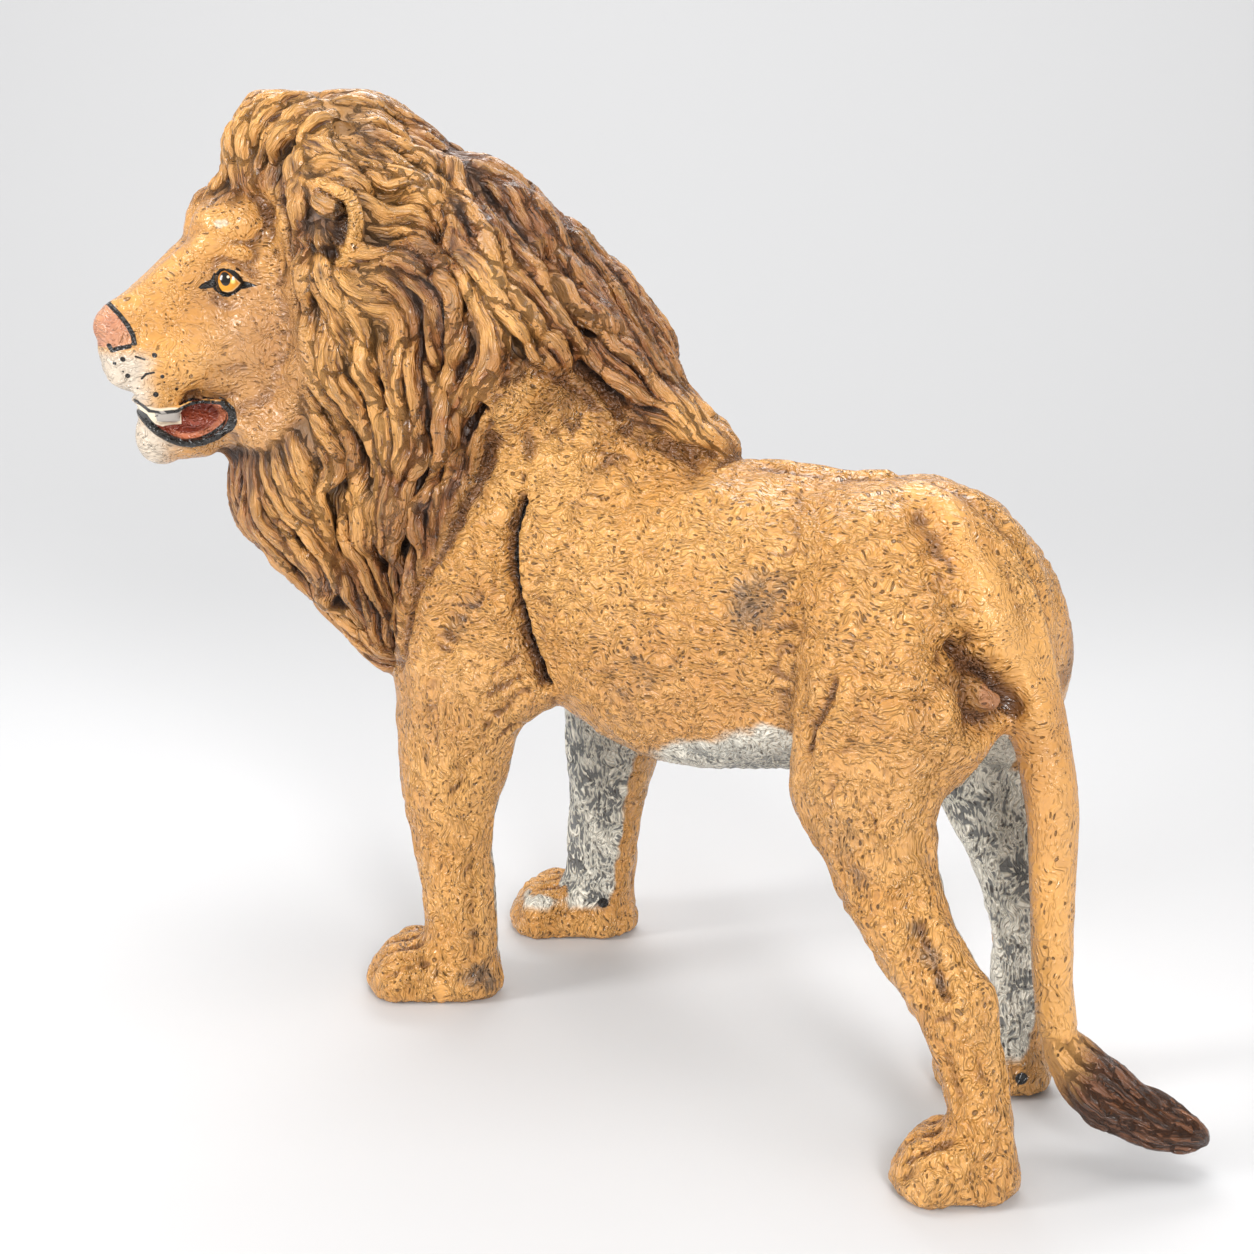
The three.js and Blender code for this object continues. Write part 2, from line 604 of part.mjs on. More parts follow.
// A closed mesh as typed arrays, thinned by joining the two ends of an edge where that moves
// the surface least. Each corner keeps the sum of the squared distances to the planes that
// met in it, as a quadric of ten numbers.
class Thinner {
  constructor(corners, faces) {
    this.place = Float64Array.from(corners);
    this.faces = Int32Array.from(faces);
    this.alive = new Uint8Array(faces.length / 3).fill(1);
    this.count = faces.length / 3;
    this.quadrics = new Float64Array((corners.length / 3) * 10);
    this.around = Array.from({ length: corners.length / 3 }, () => []);
    for (let f = 0; f < this.count; f++) this.addPlane(f);
  }

  corner(v) {
    return new THREE.Vector3().fromArray(this.place, 3 * v);
  }

  addPlane(f) {
    const ids = this.faces.subarray(3 * f, 3 * f + 3);
    const [p, q, r] = [this.corner(ids[0]), this.corner(ids[1]), this.corner(ids[2])];
    const normal = q.sub(p).cross(r.sub(p));
    const area = normal.length();
    normal.divideScalar(Math.max(area, 1e-12));
    const plane = [normal.x, normal.y, normal.z, -normal.dot(p)];
    for (const v of ids) {
      this.around[v].push(f);
      let slot = 10 * v;
      for (let a = 0; a < 4; a++)
        for (let b = a; b < 4; b++) {
          this.quadrics[slot] += area * plane[a] * plane[b];
          slot++;
        }
    }
  }

  // The best place for the corner that two corners become, and what it costs.
  join(a, b) {
    const q = new Float64Array(10);
    for (let n = 0; n < 10; n++) {
      q[n] = this.quadrics[10 * a + n] + this.quadrics[10 * b + n];
    }
    const [pa, pb] = [this.corner(a), this.corner(b)];
    const cost = (p) =>
      q[0] * p.x * p.x + 2 * q[1] * p.x * p.y + 2 * q[2] * p.x * p.z + 2 * q[3] * p.x +
      q[4] * p.y * p.y + 2 * q[5] * p.y * p.z + 2 * q[6] * p.y +
      q[7] * p.z * p.z + 2 * q[8] * p.z + q[9];
    const length = pa.distanceToSquared(pb);
    const slope = new THREE.Matrix3(q[0], q[1], q[2], q[1], q[4], q[5], q[2], q[5], q[7]);
    const middle = pa.clone().lerp(pb, 0.5);
    const places = [middle];
    if (Math.abs(slope.determinant()) > 1e-6) {
      const best = new THREE.Vector3(-q[3], -q[6], -q[8]).applyMatrix3(slope.invert());
      best.z = Math.max(best.z, 0);
      if (best.distanceToSquared(middle) < 2 * length) places.push(best);
    }
    // the flat underside stays flat
    if (pa.z < 0.01 || pb.z < 0.01) places.splice(0, 2, pa.z < pb.z ? pa : pb);
    const ranked = places.map((place) => ({ a, b, place, cost: cost(place) + 2e-3 * length }));
    return ranked.reduce((least, other) => (other.cost < least.cost ? other : least));
  }

  neighbours(v) {
    const found = new Set();
    for (const f of this.around[v])
      for (let n = 0; n < 3; n++) found.add(this.faces[3 * f + n]);
    found.delete(v);
    return found;
  }

  // Whether the faces at a corner keep facing the same way when it moves.
  keepsFacing(v, other, place) {
    for (const f of this.around[v]) {
      const ids = this.faces.subarray(3 * f, 3 * f + 3);
      if (ids.includes(other)) continue;
      const before = Array.from(ids, (id) => this.corner(id));
      const after = Array.from(ids, (id) => (id === v ? place : this.corner(id)));
      const [n, m] = [before, after].map(([p, q, r]) => q.clone().sub(p).cross(r.clone().sub(p)).normalize());
      if (n.dot(m) < 0.4) return false;
    }
    return true;
  }

  collapse({ a, b, place }) {
    place.toArray(this.place, 3 * a);
    for (let n = 0; n < 10; n++) {
      this.quadrics[10 * a + n] += this.quadrics[10 * b + n];
    }
    for (const f of this.around[b]) {
      const ids = this.faces.subarray(3 * f, 3 * f + 3);
      if (ids.includes(a)) {
        this.alive[f] = 0;
        this.count--;
        for (const v of ids) {
          if (v !== b) this.around[v] = this.around[v].filter((g) => g !== f);
        }
      } else {
        ids[ids.indexOf(b)] = a;
        this.around[a].push(f);
      }
    }
    this.around[b] = [];
  }

  // Joins edges in rounds, the cheapest first and no two that touch in one round.
  thin(target) {
    while (this.count > target) {
      const edges = [];
      for (let f = 0; f < this.alive.length; f++) {
        if (!this.alive[f]) continue;
        for (let n = 0; n < 3; n++) {
          const [a, b] = [this.faces[3 * f + n], this.faces[3 * f + ((n + 1) % 3)]];
          if (a < b) edges.push(this.join(a, b));
        }
      }
      edges.sort((first, second) => first.cost - second.cost);
      const used = new Uint8Array(this.around.length);
      const dearest = edges[Math.floor(edges.length * 0.35)].cost;
      const before = this.count;
      for (const edge of edges) {
        if (edge.cost > dearest || this.count <= target) break;
        if (used[edge.a] || used[edge.b]) continue;
        const [left, right] = [this.neighbours(edge.a), this.neighbours(edge.b)];
        const shared = [...left].filter((v) => right.has(v));
        if (shared.length !== 2) continue;
        if (!this.keepsFacing(edge.a, edge.b, edge.place)) continue;
        if (!this.keepsFacing(edge.b, edge.a, edge.place)) continue;
        this.collapse(edge);
        for (const v of [...left, ...right]) {
          used[v] = 1;
        }
      }
      if (this.count === before) break;
    }
  }

  geometry() {
    const geometry = new THREE.BufferGeometry();
    const faces = [];
    this.alive.forEach((alive, f) => alive && faces.push(...this.faces.subarray(3 * f, 3 * f + 3)));
    geometry.setAttribute("position", new THREE.Float32BufferAttribute(this.place, 3));
    geometry.setIndex(faces);
    return mergeVertices(geometry.toNonIndexed(), 1e-5); // without the corners that are gone
  }
}

async function lionGeometry() {
  const low = new THREE.Vector3(-75, -66, -5.25);
  const high = new THREE.Vector3(138, 42, 166);
  const clay = new Clay(low, high, CELL);
  addTrunk(clay);
  for (const s of [-1, 1]) {
    addForeleg(clay, s);
    addHindleg(clay, s);
  }
  addTail(clay);
  cutCreases(clay);
  addNeck(clay);
  addHead(clay);
  const mane = new Clay(low, high, CELL);
  addMane(mane);
  clay.merge(mane, 1.5);
  addLocks(clay, mane);
  for (const s of [-1, 1]) addEar(clay, s);
  // the flat underside
  clay.visit(new THREE.Box3(low, high.clone().setZ(12)), (n, point) => {
    clay.field[n] = Math.max(clay.field[n], -point.z);
  });
  // crumbs of clay that float beside the lion are left out
  const wasm = await Module();
  wasm.setup();
  const skin = mergeVertices(clay.skin(), 1e-4);
  const mesh = new wasm.Mesh({
    numProp: 3,
    vertProperties: skin.attributes.position.array,
    triVerts: new Uint32Array(skin.index.array),
  });
  const whole = new wasm.Manifold(mesh);
  const largest = whole.decompose().sort((a, b) => b.volume() - a.volume())[0].getMesh();
  const thinner = new Thinner(largest.vertProperties, largest.triVerts);
  thinner.thin(FACETS);
  const geometry = thinner.geometry();
  geometry.computeVertexNormals();
  geometry.computeBoundingBox();
  const middle = geometry.boundingBox.getCenter(new THREE.Vector3());
  return geometry.translate(-middle.x, -middle.y, 0);
}

const geometry = await lionGeometry();
const lion = new THREE.Mesh(
  geometry,
  new THREE.MeshStandardMaterial({ color: 0xc9924f, roughness: 0.35, metalness: 0 }),
);
lion.name = "lion";
const figure = new THREE.Group();
figure.add(lion);

export default figure;
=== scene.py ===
# %% [markdown]
# # A cold-painted bronze lion
#
# The real piece is a hollow bronze casting about as long as a hand. A worker chased its coat with
# small punches, then a painter laid oil paint over the cold metal: ochre for the coat, brown
# washed into the mane, dark brown dots for pores, and a clear gloss over everything.
# The figure is one casting, so it is one skin here too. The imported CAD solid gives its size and
# pose, and this script gives it hair, a face and paint.

# %% Load the frame
import math

import bmesh
import bpy
import numpy as np
from mathutils import Matrix, Vector
from mathutils.kdtree import KDTree


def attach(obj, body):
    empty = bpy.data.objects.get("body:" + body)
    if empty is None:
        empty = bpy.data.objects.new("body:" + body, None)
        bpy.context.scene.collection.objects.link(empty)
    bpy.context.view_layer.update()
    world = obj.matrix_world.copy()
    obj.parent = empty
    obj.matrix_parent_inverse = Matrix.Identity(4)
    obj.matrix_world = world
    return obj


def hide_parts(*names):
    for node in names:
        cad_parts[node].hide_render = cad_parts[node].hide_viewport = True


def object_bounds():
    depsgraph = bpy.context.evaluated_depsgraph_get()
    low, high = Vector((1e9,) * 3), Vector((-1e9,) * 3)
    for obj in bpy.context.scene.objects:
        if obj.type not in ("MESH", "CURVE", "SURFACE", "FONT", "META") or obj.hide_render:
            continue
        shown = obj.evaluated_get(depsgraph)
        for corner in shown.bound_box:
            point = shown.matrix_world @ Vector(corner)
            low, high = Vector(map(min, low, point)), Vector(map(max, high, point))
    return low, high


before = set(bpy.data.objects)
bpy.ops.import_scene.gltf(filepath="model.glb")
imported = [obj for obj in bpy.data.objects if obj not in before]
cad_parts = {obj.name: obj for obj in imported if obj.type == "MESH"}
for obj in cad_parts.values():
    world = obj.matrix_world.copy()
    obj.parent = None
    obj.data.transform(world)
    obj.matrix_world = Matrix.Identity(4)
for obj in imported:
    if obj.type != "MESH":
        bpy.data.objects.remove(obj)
cad_low, cad_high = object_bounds()
print("CAD box", tuple(cad_low), tuple(cad_high))

# %% [markdown]
# ## Measures
#
# The lion is small, so it is modelled in millimetres on the bench and brought to metres at the
# end. The head is turned sixty degrees to the lion's left, so the face has a frame of its own:
# how far a point is behind the nose, to the right of it and above it.

# %% Frames for the body and for the head
MM = 0.001
NOSE_TIP = Vector((-86.10, -37.66, 115.3))
HEAD_BACK = Vector((0.5, 0.8660254, 0))
HEAD_RIGHT = Vector((-0.8660254, 0.5, 0))
UP = Vector((0, 0, 1))
SHIFT = Vector((38.50, -10.344, 0))  # from the solid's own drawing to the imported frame


def on_head(back, right, up):
    return NOSE_TIP + HEAD_BACK * back + HEAD_RIGHT * right + UP * up


def on_body(x, y, z):
    return Vector((x, y, z)) - SHIFT


def both(points):
    """The same points for the left and for the right side of the head."""
    return [[(b, r * side, u) for b, r, u in points] for side in (-1, 1)]


HEAD_TURN = Matrix((HEAD_BACK, HEAD_RIGHT, UP)).transposed().to_4x4()
print("nose tip", tuple(NOSE_TIP), "mm")

# %% [markdown]
# ## The camera
#
# The photograph was taken from behind the lion's left shoulder, a little above its back, with a
# short telephoto lens. The place, the turn and the lens were solved from the paws, which all
# stand on one floor, so they are written as plain numbers.

# %% Camera at the photograph's place
CAMERA_PLACE = Vector((203.5, -233.96, 154.0))
CAMERA_DOWN = math.radians(90 - 15.1)
CAMERA_TURN = math.radians(41.23)
CAMERA_LENS = 58.05

camera_data = bpy.data.cameras.new("camera")
camera_data.lens = CAMERA_LENS
camera_data.sensor_width = 36
camera_data.clip_start = 0.01
camera_data.clip_end = 20
camera = bpy.data.objects.new("camera", camera_data)
camera.location = CAMERA_PLACE * MM
camera.rotation_euler = (CAMERA_DOWN, 0, CAMERA_TURN)
bpy.context.scene.collection.objects.link(camera)
bpy.context.scene.camera = camera
bpy.context.scene.view_settings.view_transform = "Standard"
print("camera", tuple(camera.location), "lens", CAMERA_LENS)


# %% [markdown]
# ## Shader arithmetic
#
# Paint is mixed by sums and products of masks. This small wrapper lets them be written as
# ordinary expressions: every operator adds a Math node, and `node` adds any other one.

# %% A socket that can be added and multiplied
class Signal:
    def __init__(self, bench, socket):
        self.bench = bench
        self.socket = socket

    def math(self, operation, *others):
        values = dict(enumerate((self, *others)))
        return self.bench.node("ShaderNodeMath", {"operation": operation}, values)

    def __add__(self, other):
        return self.math("ADD", other)

    def __sub__(self, other):
        return self.math("SUBTRACT", other)

    def __rsub__(self, other):
        return self.bench.node("ShaderNodeMath", {"operation": "SUBTRACT"}, {0: other, 1: self})

    def __mul__(self, other):
        return self.math("MULTIPLY", other)

    __radd__ = __add__
    __rmul__ = __mul__

    def rise(self, low, high, shape="SMOOTHSTEP"):
        """0 below low and 1 above high, smooth between; low may be the larger one."""
        values = {"Value": self, "From Min": low, "From Max": high}
        return self.bench.node("ShaderNodeMapRange", {"interpolation_type": shape}, values)


def least_of(signals):
    least, *others = signals
    for other in others:
        least = least.math("MINIMUM", other)
    return least


class Bench:
    """The nodes of one material."""

    def __init__(self, name):
        self.material = bpy.data.materials.new(name)
        self.material.use_nodes = True
        self.nodes = self.material.node_tree.nodes
        self.links = self.material.node_tree.links
        self.nodes.clear()

    def node(self, kind, settings=None, values=None, out=0):
        made = self.nodes.new(kind)
        for name, value in (settings or {}).items():
            setattr(made, name, value)
        for name, value in (values or {}).items():
            if isinstance(value, Signal):
                self.links.new(value.socket, made.inputs[name])
            else:
                made.inputs[name].default_value = value
        return Signal(self, made.outputs[out]) if len(made.outputs) else None

    def mix(self, share, first, second):
        """Mixes two colours; the node keeps these in inputs 6 and 7 and in output 2."""
        ends = [c if isinstance(c, Signal) else (*c, 1) for c in (first, second)]
        values = {0: share, 6: ends[0], 7: ends[1]}
        return self.node("ShaderNodeMix", {"data_type": "RGBA"}, values, out=2)

    def coats(self, ground, *layers):
        """Lays (share, colour) layers over a ground, one after another."""
        for share, colour in layers:
            ground = self.mix(share, ground, colour)
        return ground

    def vector(self, operation, *others, out=0):
        """Vector arithmetic; a float among the others is the scale."""
        values = {n: other for n, other in enumerate(others) if not isinstance(other, float)}
        values |= {"Scale": other for other in others if isinstance(other, float)}
        return self.node("ShaderNodeVectorMath", {"operation": operation}, values, out)

    def distance(self, first, second):
        return self.vector("DISTANCE", first, second, out="Value")

    def flat(self, across, up):
        return self.node("ShaderNodeCombineXYZ", values={0: across, 2: up})

    def split(self, vector):
        """The three numbers of a vector."""
        first = self.node("ShaderNodeSeparateXYZ", values={0: vector})
        return [Signal(self, socket) for socket in first.socket.node.outputs]

    def attribute(self, name, out="Fac"):
        return self.node("ShaderNodeAttribute", {"attribute_name": name}, out=out)

    def noise(self, place, size, detail=2.0, roughness=0.5, out=0):
        values = {"Vector": place, "Scale": 1 / size, "Detail": detail, "Roughness": roughness}
        return self.node("ShaderNodeTexNoise", values=values, out=out)

    def inside(self, point, corners):
        """How far a point is inside a convex outline of (x, z) corners; negative outside."""
        ends = list(zip(corners, corners[1:] + corners[:1]))
        area = sum(a * d - b * c for (a, b), (c, d) in ends)
        edges = []
        for (a, b), (c, d) in ends:
            scale = math.copysign(1, area) / math.hypot(c - a, d - b)
            inward = ((b - d) * scale, 0, (c - a) * scale)
            reach = self.vector("DOT_PRODUCT", point, inward, out="Value")
            edges.append(reach - (a * inward[0] + b * inward[2]))
        return least_of(edges)

    def from_line(self, point, corners):
        """How far a point is from a line through (x, z) corners."""
        edges = []
        for (a, b), (c, d) in zip(corners, corners[1:]):
            way = Vector((c - a, 0, d - b))
            away = self.vector("SUBTRACT", point, (a, 0, b))
            share = self.vector("DOT_PRODUCT", away, tuple(way / way.length_squared), out="Value")
            values = {0: tuple(way), "Scale": share.rise(0, 1, "LINEAR")}
            foot = self.node("ShaderNodeVectorMath", {"operation": "SCALE"}, values)
            edges.append(self.distance(away, foot))
        return least_of(edges)

    def from_spots(self, point, spots):
        """How far a point is outside the nearest of some (x, z, radius) spots."""
        return least_of([self.distance(point, (a, 0, b)) - radius for a, b, radius in spots])

    def finish(self, **sockets):
        shader = self.node("ShaderNodeBsdfPrincipled", values=sockets)
        self.node("ShaderNodeOutputMaterial", values={"Surface": shader})
        return self.material


print("shader wrapper ready")

# %% [markdown]
# ## Floor and light
#
# The photograph has the even, near-white sweep of a product studio: paper that runs from under
# the feet up behind the figure, one big light overhead and two softer ones at the sides. A wash
# keeps the paper behind the figure white, and a narrow box draws a rim along its back.

# %% The paper sweep
SWEEP_START = -900  # mm, in front of the lion
SWEEP_LENGTH = 3000
SWEEP_FLAT = 420.0  # mm behind the lion before the paper starts to rise
SWEEP_ROUND = 700.0  # mm, the radius of its bend
SWEEP_WIDE = 2600.0
SWEEP_STEPS = 60
PAPER_WHITE = (0.64, 0.64, 0.645, 1)

view_ahead = Vector((-math.sin(CAMERA_TURN), math.cos(CAMERA_TURN), 0))
view_right = Vector((math.cos(CAMERA_TURN), math.sin(CAMERA_TURN), 0))

paper = bmesh.new()
bmesh.ops.create_grid(paper, x_segments=1, y_segments=SWEEP_STEPS, size=1)
for v in paper.verts:
    run = SWEEP_START + (v.co.y + 1) / 2 * SWEEP_LENGTH
    over = max(0.0, run - SWEEP_FLAT)
    angle = min(over / SWEEP_ROUND, math.pi / 2)
    past = max(0.0, over - SWEEP_ROUND * math.pi / 2)
    ahead = min(run, SWEEP_FLAT) + SWEEP_ROUND * math.sin(angle)
    lift = SWEEP_ROUND * (1 - math.cos(angle)) + past
    v.co = (view_right * v.co.x * SWEEP_WIDE / 2 + view_ahead * ahead + UP * lift) * MM
sweep_mesh = bpy.data.meshes.new("paper_sweep")
paper.to_mesh(sweep_mesh)
paper.free()
sweep_mesh.shade_smooth()
sweep = bpy.data.objects.new("paper_sweep", sweep_mesh)
bpy.context.scene.collection.objects.link(sweep)
bench = Bench("paper")
sweep_mesh.materials.append(bench.finish(**{"Base Color": PAPER_WHITE, "Roughness": 0.9}))
print("paper sweep", len(sweep_mesh.polygons), "faces")

# %% Studio lights
ROOM_LIGHT = 0.50


def soft_light(name, place, aim, wide, high, watts, opening=180):
    data = bpy.data.lights.new(name, "AREA")
    data.shape = "RECTANGLE"
    data.size = wide * MM
    data.size_y = high * MM
    data.energy = watts
    data.spread = math.radians(opening)
    light = bpy.data.objects.new(name, data)
    light.location = Vector(place) * MM
    light.rotation_euler = (Vector(aim) - Vector(place)).to_track_quat("-Z", "Y").to_euler()
    bpy.context.scene.collection.objects.link(light)


soft_light("overhead", (-60, 60, 900), (0, 0, 60), 460, 460, 3.3)
soft_light("left_box", (-330, -560, 300), (-20, 0, 70), 170, 260, 2.8)
soft_light("right_box", (480, -330, 330), (20, 0, 70), 150, 260, 2.6)
back_place, back_aim = view_ahead * 450 + UP * 950, view_ahead * 1150 + UP * 480
soft_light("back_wash", back_place, back_aim, 1600, 300, 4.9)
soft_light("rim_box", view_ahead * 420 + UP * 430, (0, 0, 110), 520, 160, 0.28, 70)
world = bpy.data.worlds.new("studio")
world.use_nodes = True
background = world.node_tree.nodes["Background"]
background.inputs["Color"].default_value = (1, 1, 1, 1)
background.inputs["Strength"].default_value = ROOM_LIGHT
bpy.context.scene.world = world
print("five area lights and a white room")

# %% [markdown]
# ## The skin, before any hair
#
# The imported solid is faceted. A copy of it is merged, turned into an even net of squares less
# than a millimetre wide by a voxel remesh, and smoothed until the facets are gone. Muscles and
# the big locks of the mane come through this, because they are much larger than the facets.

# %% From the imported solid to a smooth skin
ROUGH_VOXEL = 0.9
ROUGH_SMOOTH = 10


def merged_copy(node):
    copy = bmesh.new()
    copy.from_mesh(node.data)
    bmesh.ops.transform(copy, matrix=Matrix.Scale(1 / MM, 4), verts=copy.verts)
    bmesh.ops.remove_doubles(copy, verts=copy.verts, dist=0.001)
    return copy


def settle(model, name, modifiers):
    """Makes a mesh of a bmesh and of modifiers, each (kind, settings), all applied."""
    mesh = bpy.data.meshes.new(name)
    model.to_mesh(mesh)
    model.free()
    bench_object = bpy.data.objects.new(name, mesh)
    bpy.context.scene.collection.objects.link(bench_object)
    for kind, settings in modifiers:
        modifier = bench_object.modifiers.new(kind.lower(), kind)
        for key, value in settings.items():
            setattr(modifier, key, value)
    ready = bench_object.evaluated_get(bpy.context.evaluated_depsgraph_get())
    result = bpy.data.meshes.new_from_object(ready)
    bpy.data.objects.remove(bench_object)
    bpy.data.meshes.remove(mesh)
    return result


def melted(model, name, voxel, rounds):
    """An even net over all that is in a bmesh, smoothed a few times."""
    remesh = ("REMESH", {"mode": "VOXEL", "voxel_size": voxel})
    return settle(model, name, [remesh, ("SMOOTH", {"factor": 0.5, "iterations": rounds})])


rough_skin = melted(merged_copy(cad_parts["lion"]), "rough_skin", ROUGH_VOXEL, ROUGH_SMOOTH)
print("rough skin", len(rough_skin.vertices), "vertices")

# %% [markdown]
# ## Pellets of clay
#
# A sculptor adds detail by pressing on pellets and rolls and working them in. Here a pellet is a
# stretched sphere and a roll is a chain of cones with balls at the joints. They are put into the
# same bmesh as the skin, and the next remesh melts them together.

# %% Balls and rolls
PELLET_STEPS = 3


def add_ball(model, centre, half, frame_turn=None):
    place = Matrix.Translation(centre)
    if frame_turn is not None:
        place = place @ frame_turn
    place = place @ Matrix.Diagonal((*half, 1))
    bmesh.ops.create_icosphere(model, subdivisions=PELLET_STEPS, radius=1, matrix=place)


def add_roll(model, points, radii):
    for centre, radius in zip(points, radii):
        spot = Matrix.Translation(centre)
        bmesh.ops.create_icosphere(model, subdivisions=2, radius=radius, matrix=spot)
    for start, end, first, second in zip(points, points[1:], radii, radii[1:]):
        way = end - start
        turn = way.to_track_quat("Z", "Y").to_matrix().to_4x4()
        bmesh.ops.create_cone(
            model,
            cap_ends=True,
            segments=16,
            radius1=first,
            radius2=second,
            depth=way.length,
            matrix=Matrix.Translation((start + end) / 2) @ turn,
        )


def head_ball(model, centre, half):
    for side in (-1, 1) if centre[1] else (1,):
        spot = on_head(centre[0], centre[1] * side, centre[2])
        add_ball(model, spot, half, HEAD_TURN)


def head_roll(model, points, radii):
    for side_points in both(points):
        add_roll(model, [on_head(*p) for p in side_points], radii)


print("pellet tools ready")

# %% [markdown]
# ## The face
#
# The face is an animal's: a broad nose pad, two round lip cushions, an open mouth with a dark
# lip round it, deep-set eyes under a brow and short round ears with a rolled rim. All of it is
# built for the left side from the photograph and mirrored.

# %% Where the features of the face are, in head millimetres
EYE = (21.5, 9.1, 7.0)
EYE_ROUND = 2.9
UPPER_LIP = [
    (5.4, 0, -13.2), (5.9, 2.5, -13.3), (7.2, 4.5, -14.5), (9, 6, -14.7), (11.5, 7.3, -14.4),
    (12.9, 8, -13.5), (14.2, 8.6, -12.9), (15.6, 9.3, -12.7), (17.1, 10, -12.8), (18.8, 10.8, -12.9),
]
LOWER_LIP = [
    (6.2, 0, -15.3), (6.5, 1.5, -15.9), (7.3, 3.1, -17), (8.4, 4.6, -18.1), (10.1, 5.6, -19.2),
    (11.9, 6.4, -20), (13.8, 7.2, -20.1), (15.9, 8.2, -19.6), (17.9, 9.4, -18.6),
    (19.5, 10.4, -17.2), (20.1, 11, -15.6), (20, 11.2, -14.2), (18.8, 10.8, -12.9),
]
TEETH = [(6.6, 2.2, -14.7), (8, 4.5, -15.4), (10, 5.6, -15.6), (11.7, 6.3, -15.5)]
UPPER_LID = [
    (18.3, 10, 7.3), (18.9, 10.2, 8.8), (20, 10.6, 9.6), (21.2, 11.1, 9.2), (22.6, 11.7, 8),
    (23.9, 12.2, 7.2),
]
LOWER_LID = [
    (18.3, 10, 6), (19.1, 10.3, 5.1), (20.5, 10.9, 4.5), (21.8, 11.4, 5.3), (22.8, 11.8, 6),
]
EAR_RIM = [
    (34.2, 25, 22.6), (35.9, 27, 22.3), (37.4, 28.6, 21), (38, 29.4, 19.4), (38.1, 29.6, 17.6),
    (37.9, 29.2, 15.6), (37.4, 28.6, 13.2), (36.7, 27.6, 11.6),
]
EAR_TUFTS = [
    [(30.6, 22.6, 19.4), (33, 25.2, 19.5), (35.6, 27.6, 18.8)],
    [(30.6, 22.8, 17.2), (33, 25.4, 17.2), (35.4, 27.6, 16.4)],
    [(30.6, 22.8, 15), (32.8, 25, 14.9), (34.8, 26.9, 13.9)],
]
print("mouth", len(UPPER_LIP), "+", len(LOWER_LIP), "points, ear rim", len(EAR_RIM))

# %% Press the face on
KNOB = (65.4, 0.4, 72.0)

clay = bmesh.new()
clay.from_mesh(rough_skin)
bpy.data.meshes.remove(rough_skin)

head_ball(clay, (3.1, 0, -0.9), (3.8, 5.3, 3.6))  # nose pad
head_ball(clay, (4.2, 3.6, -1.6), (2.9, 2.4, 2.4))  # wings of the nostrils
head_ball(clay, (5.6, 3.2, -7.4), (5.1, 3.5, 4.1))  # lip cushions
head_ball(clay, (9.4, 5.1, -9.8), (4.9, 3.3, 4.8))
head_ball(clay, (9.6, 0, -20.0), (4.5, 4.5, 4.6))  # chin
head_ball(clay, (8.8, 0, -15.2), (3.0, 4.2, 2.3))  # gum behind the front teeth
head_roll(clay, TEETH, [0.8, 1.0, 1.0, 0.9])
head_ball(clay, (15.5, 0, -16.6), (6.0, 7.6, 2.6))  # tongue
head_roll(clay, LOWER_LIP, [0.75] * len(LOWER_LIP))
head_roll(clay, UPPER_LIP, [0.6] * len(UPPER_LIP))
head_roll(clay, UPPER_LID, [0.3, 0.4, 0.45, 0.45, 0.4, 0.3])
head_roll(clay, LOWER_LID, [0.3, 0.4, 0.45, 0.4, 0.3])
head_roll(clay, [(16.8, 6.4, 11.6), (19.8, 8.2, 12.4), (23.6, 10.4, 11.4)], [1.2, 1.6, 1.2])  # brow
head_ball(clay, (19.6, 3.6, 14.0), (4.2, 4.8, 4.0))  # the step of the brow
head_ball(clay, (23.4, 4.6, 15.8), (7.5, 6.6, 5.6))
head_roll(clay, EAR_RIM, [0.8, 0.9, 0.95, 1.0, 1.0, 1.0, 0.95, 0.8])
head_ball(clay, (35.2, 25.6, 16.8), (3.4, 2.6, 5.4))  # floor of the ear
for tuft in EAR_TUFTS:
    head_roll(clay, tuft, [1.1, 1.25, 0.6])
add_ball(clay, KNOB, (1.7, 1.7, 1.9))  # the knob under the tail
print("clay with the face on it", len(clay.verts), "vertices")

# %% [markdown]
# ## Melting it together
#
# The second remesh is finer. Its net is even, so from here on every vertex can be moved as with
# a sculpting brush, in plain array arithmetic, without stretching any face.

# %% The fine skin
FINE_VOXEL = 0.5
FINE_SMOOTH = 3
skin_mesh = melted(clay, "lion_skin", FINE_VOXEL, FINE_SMOOTH)


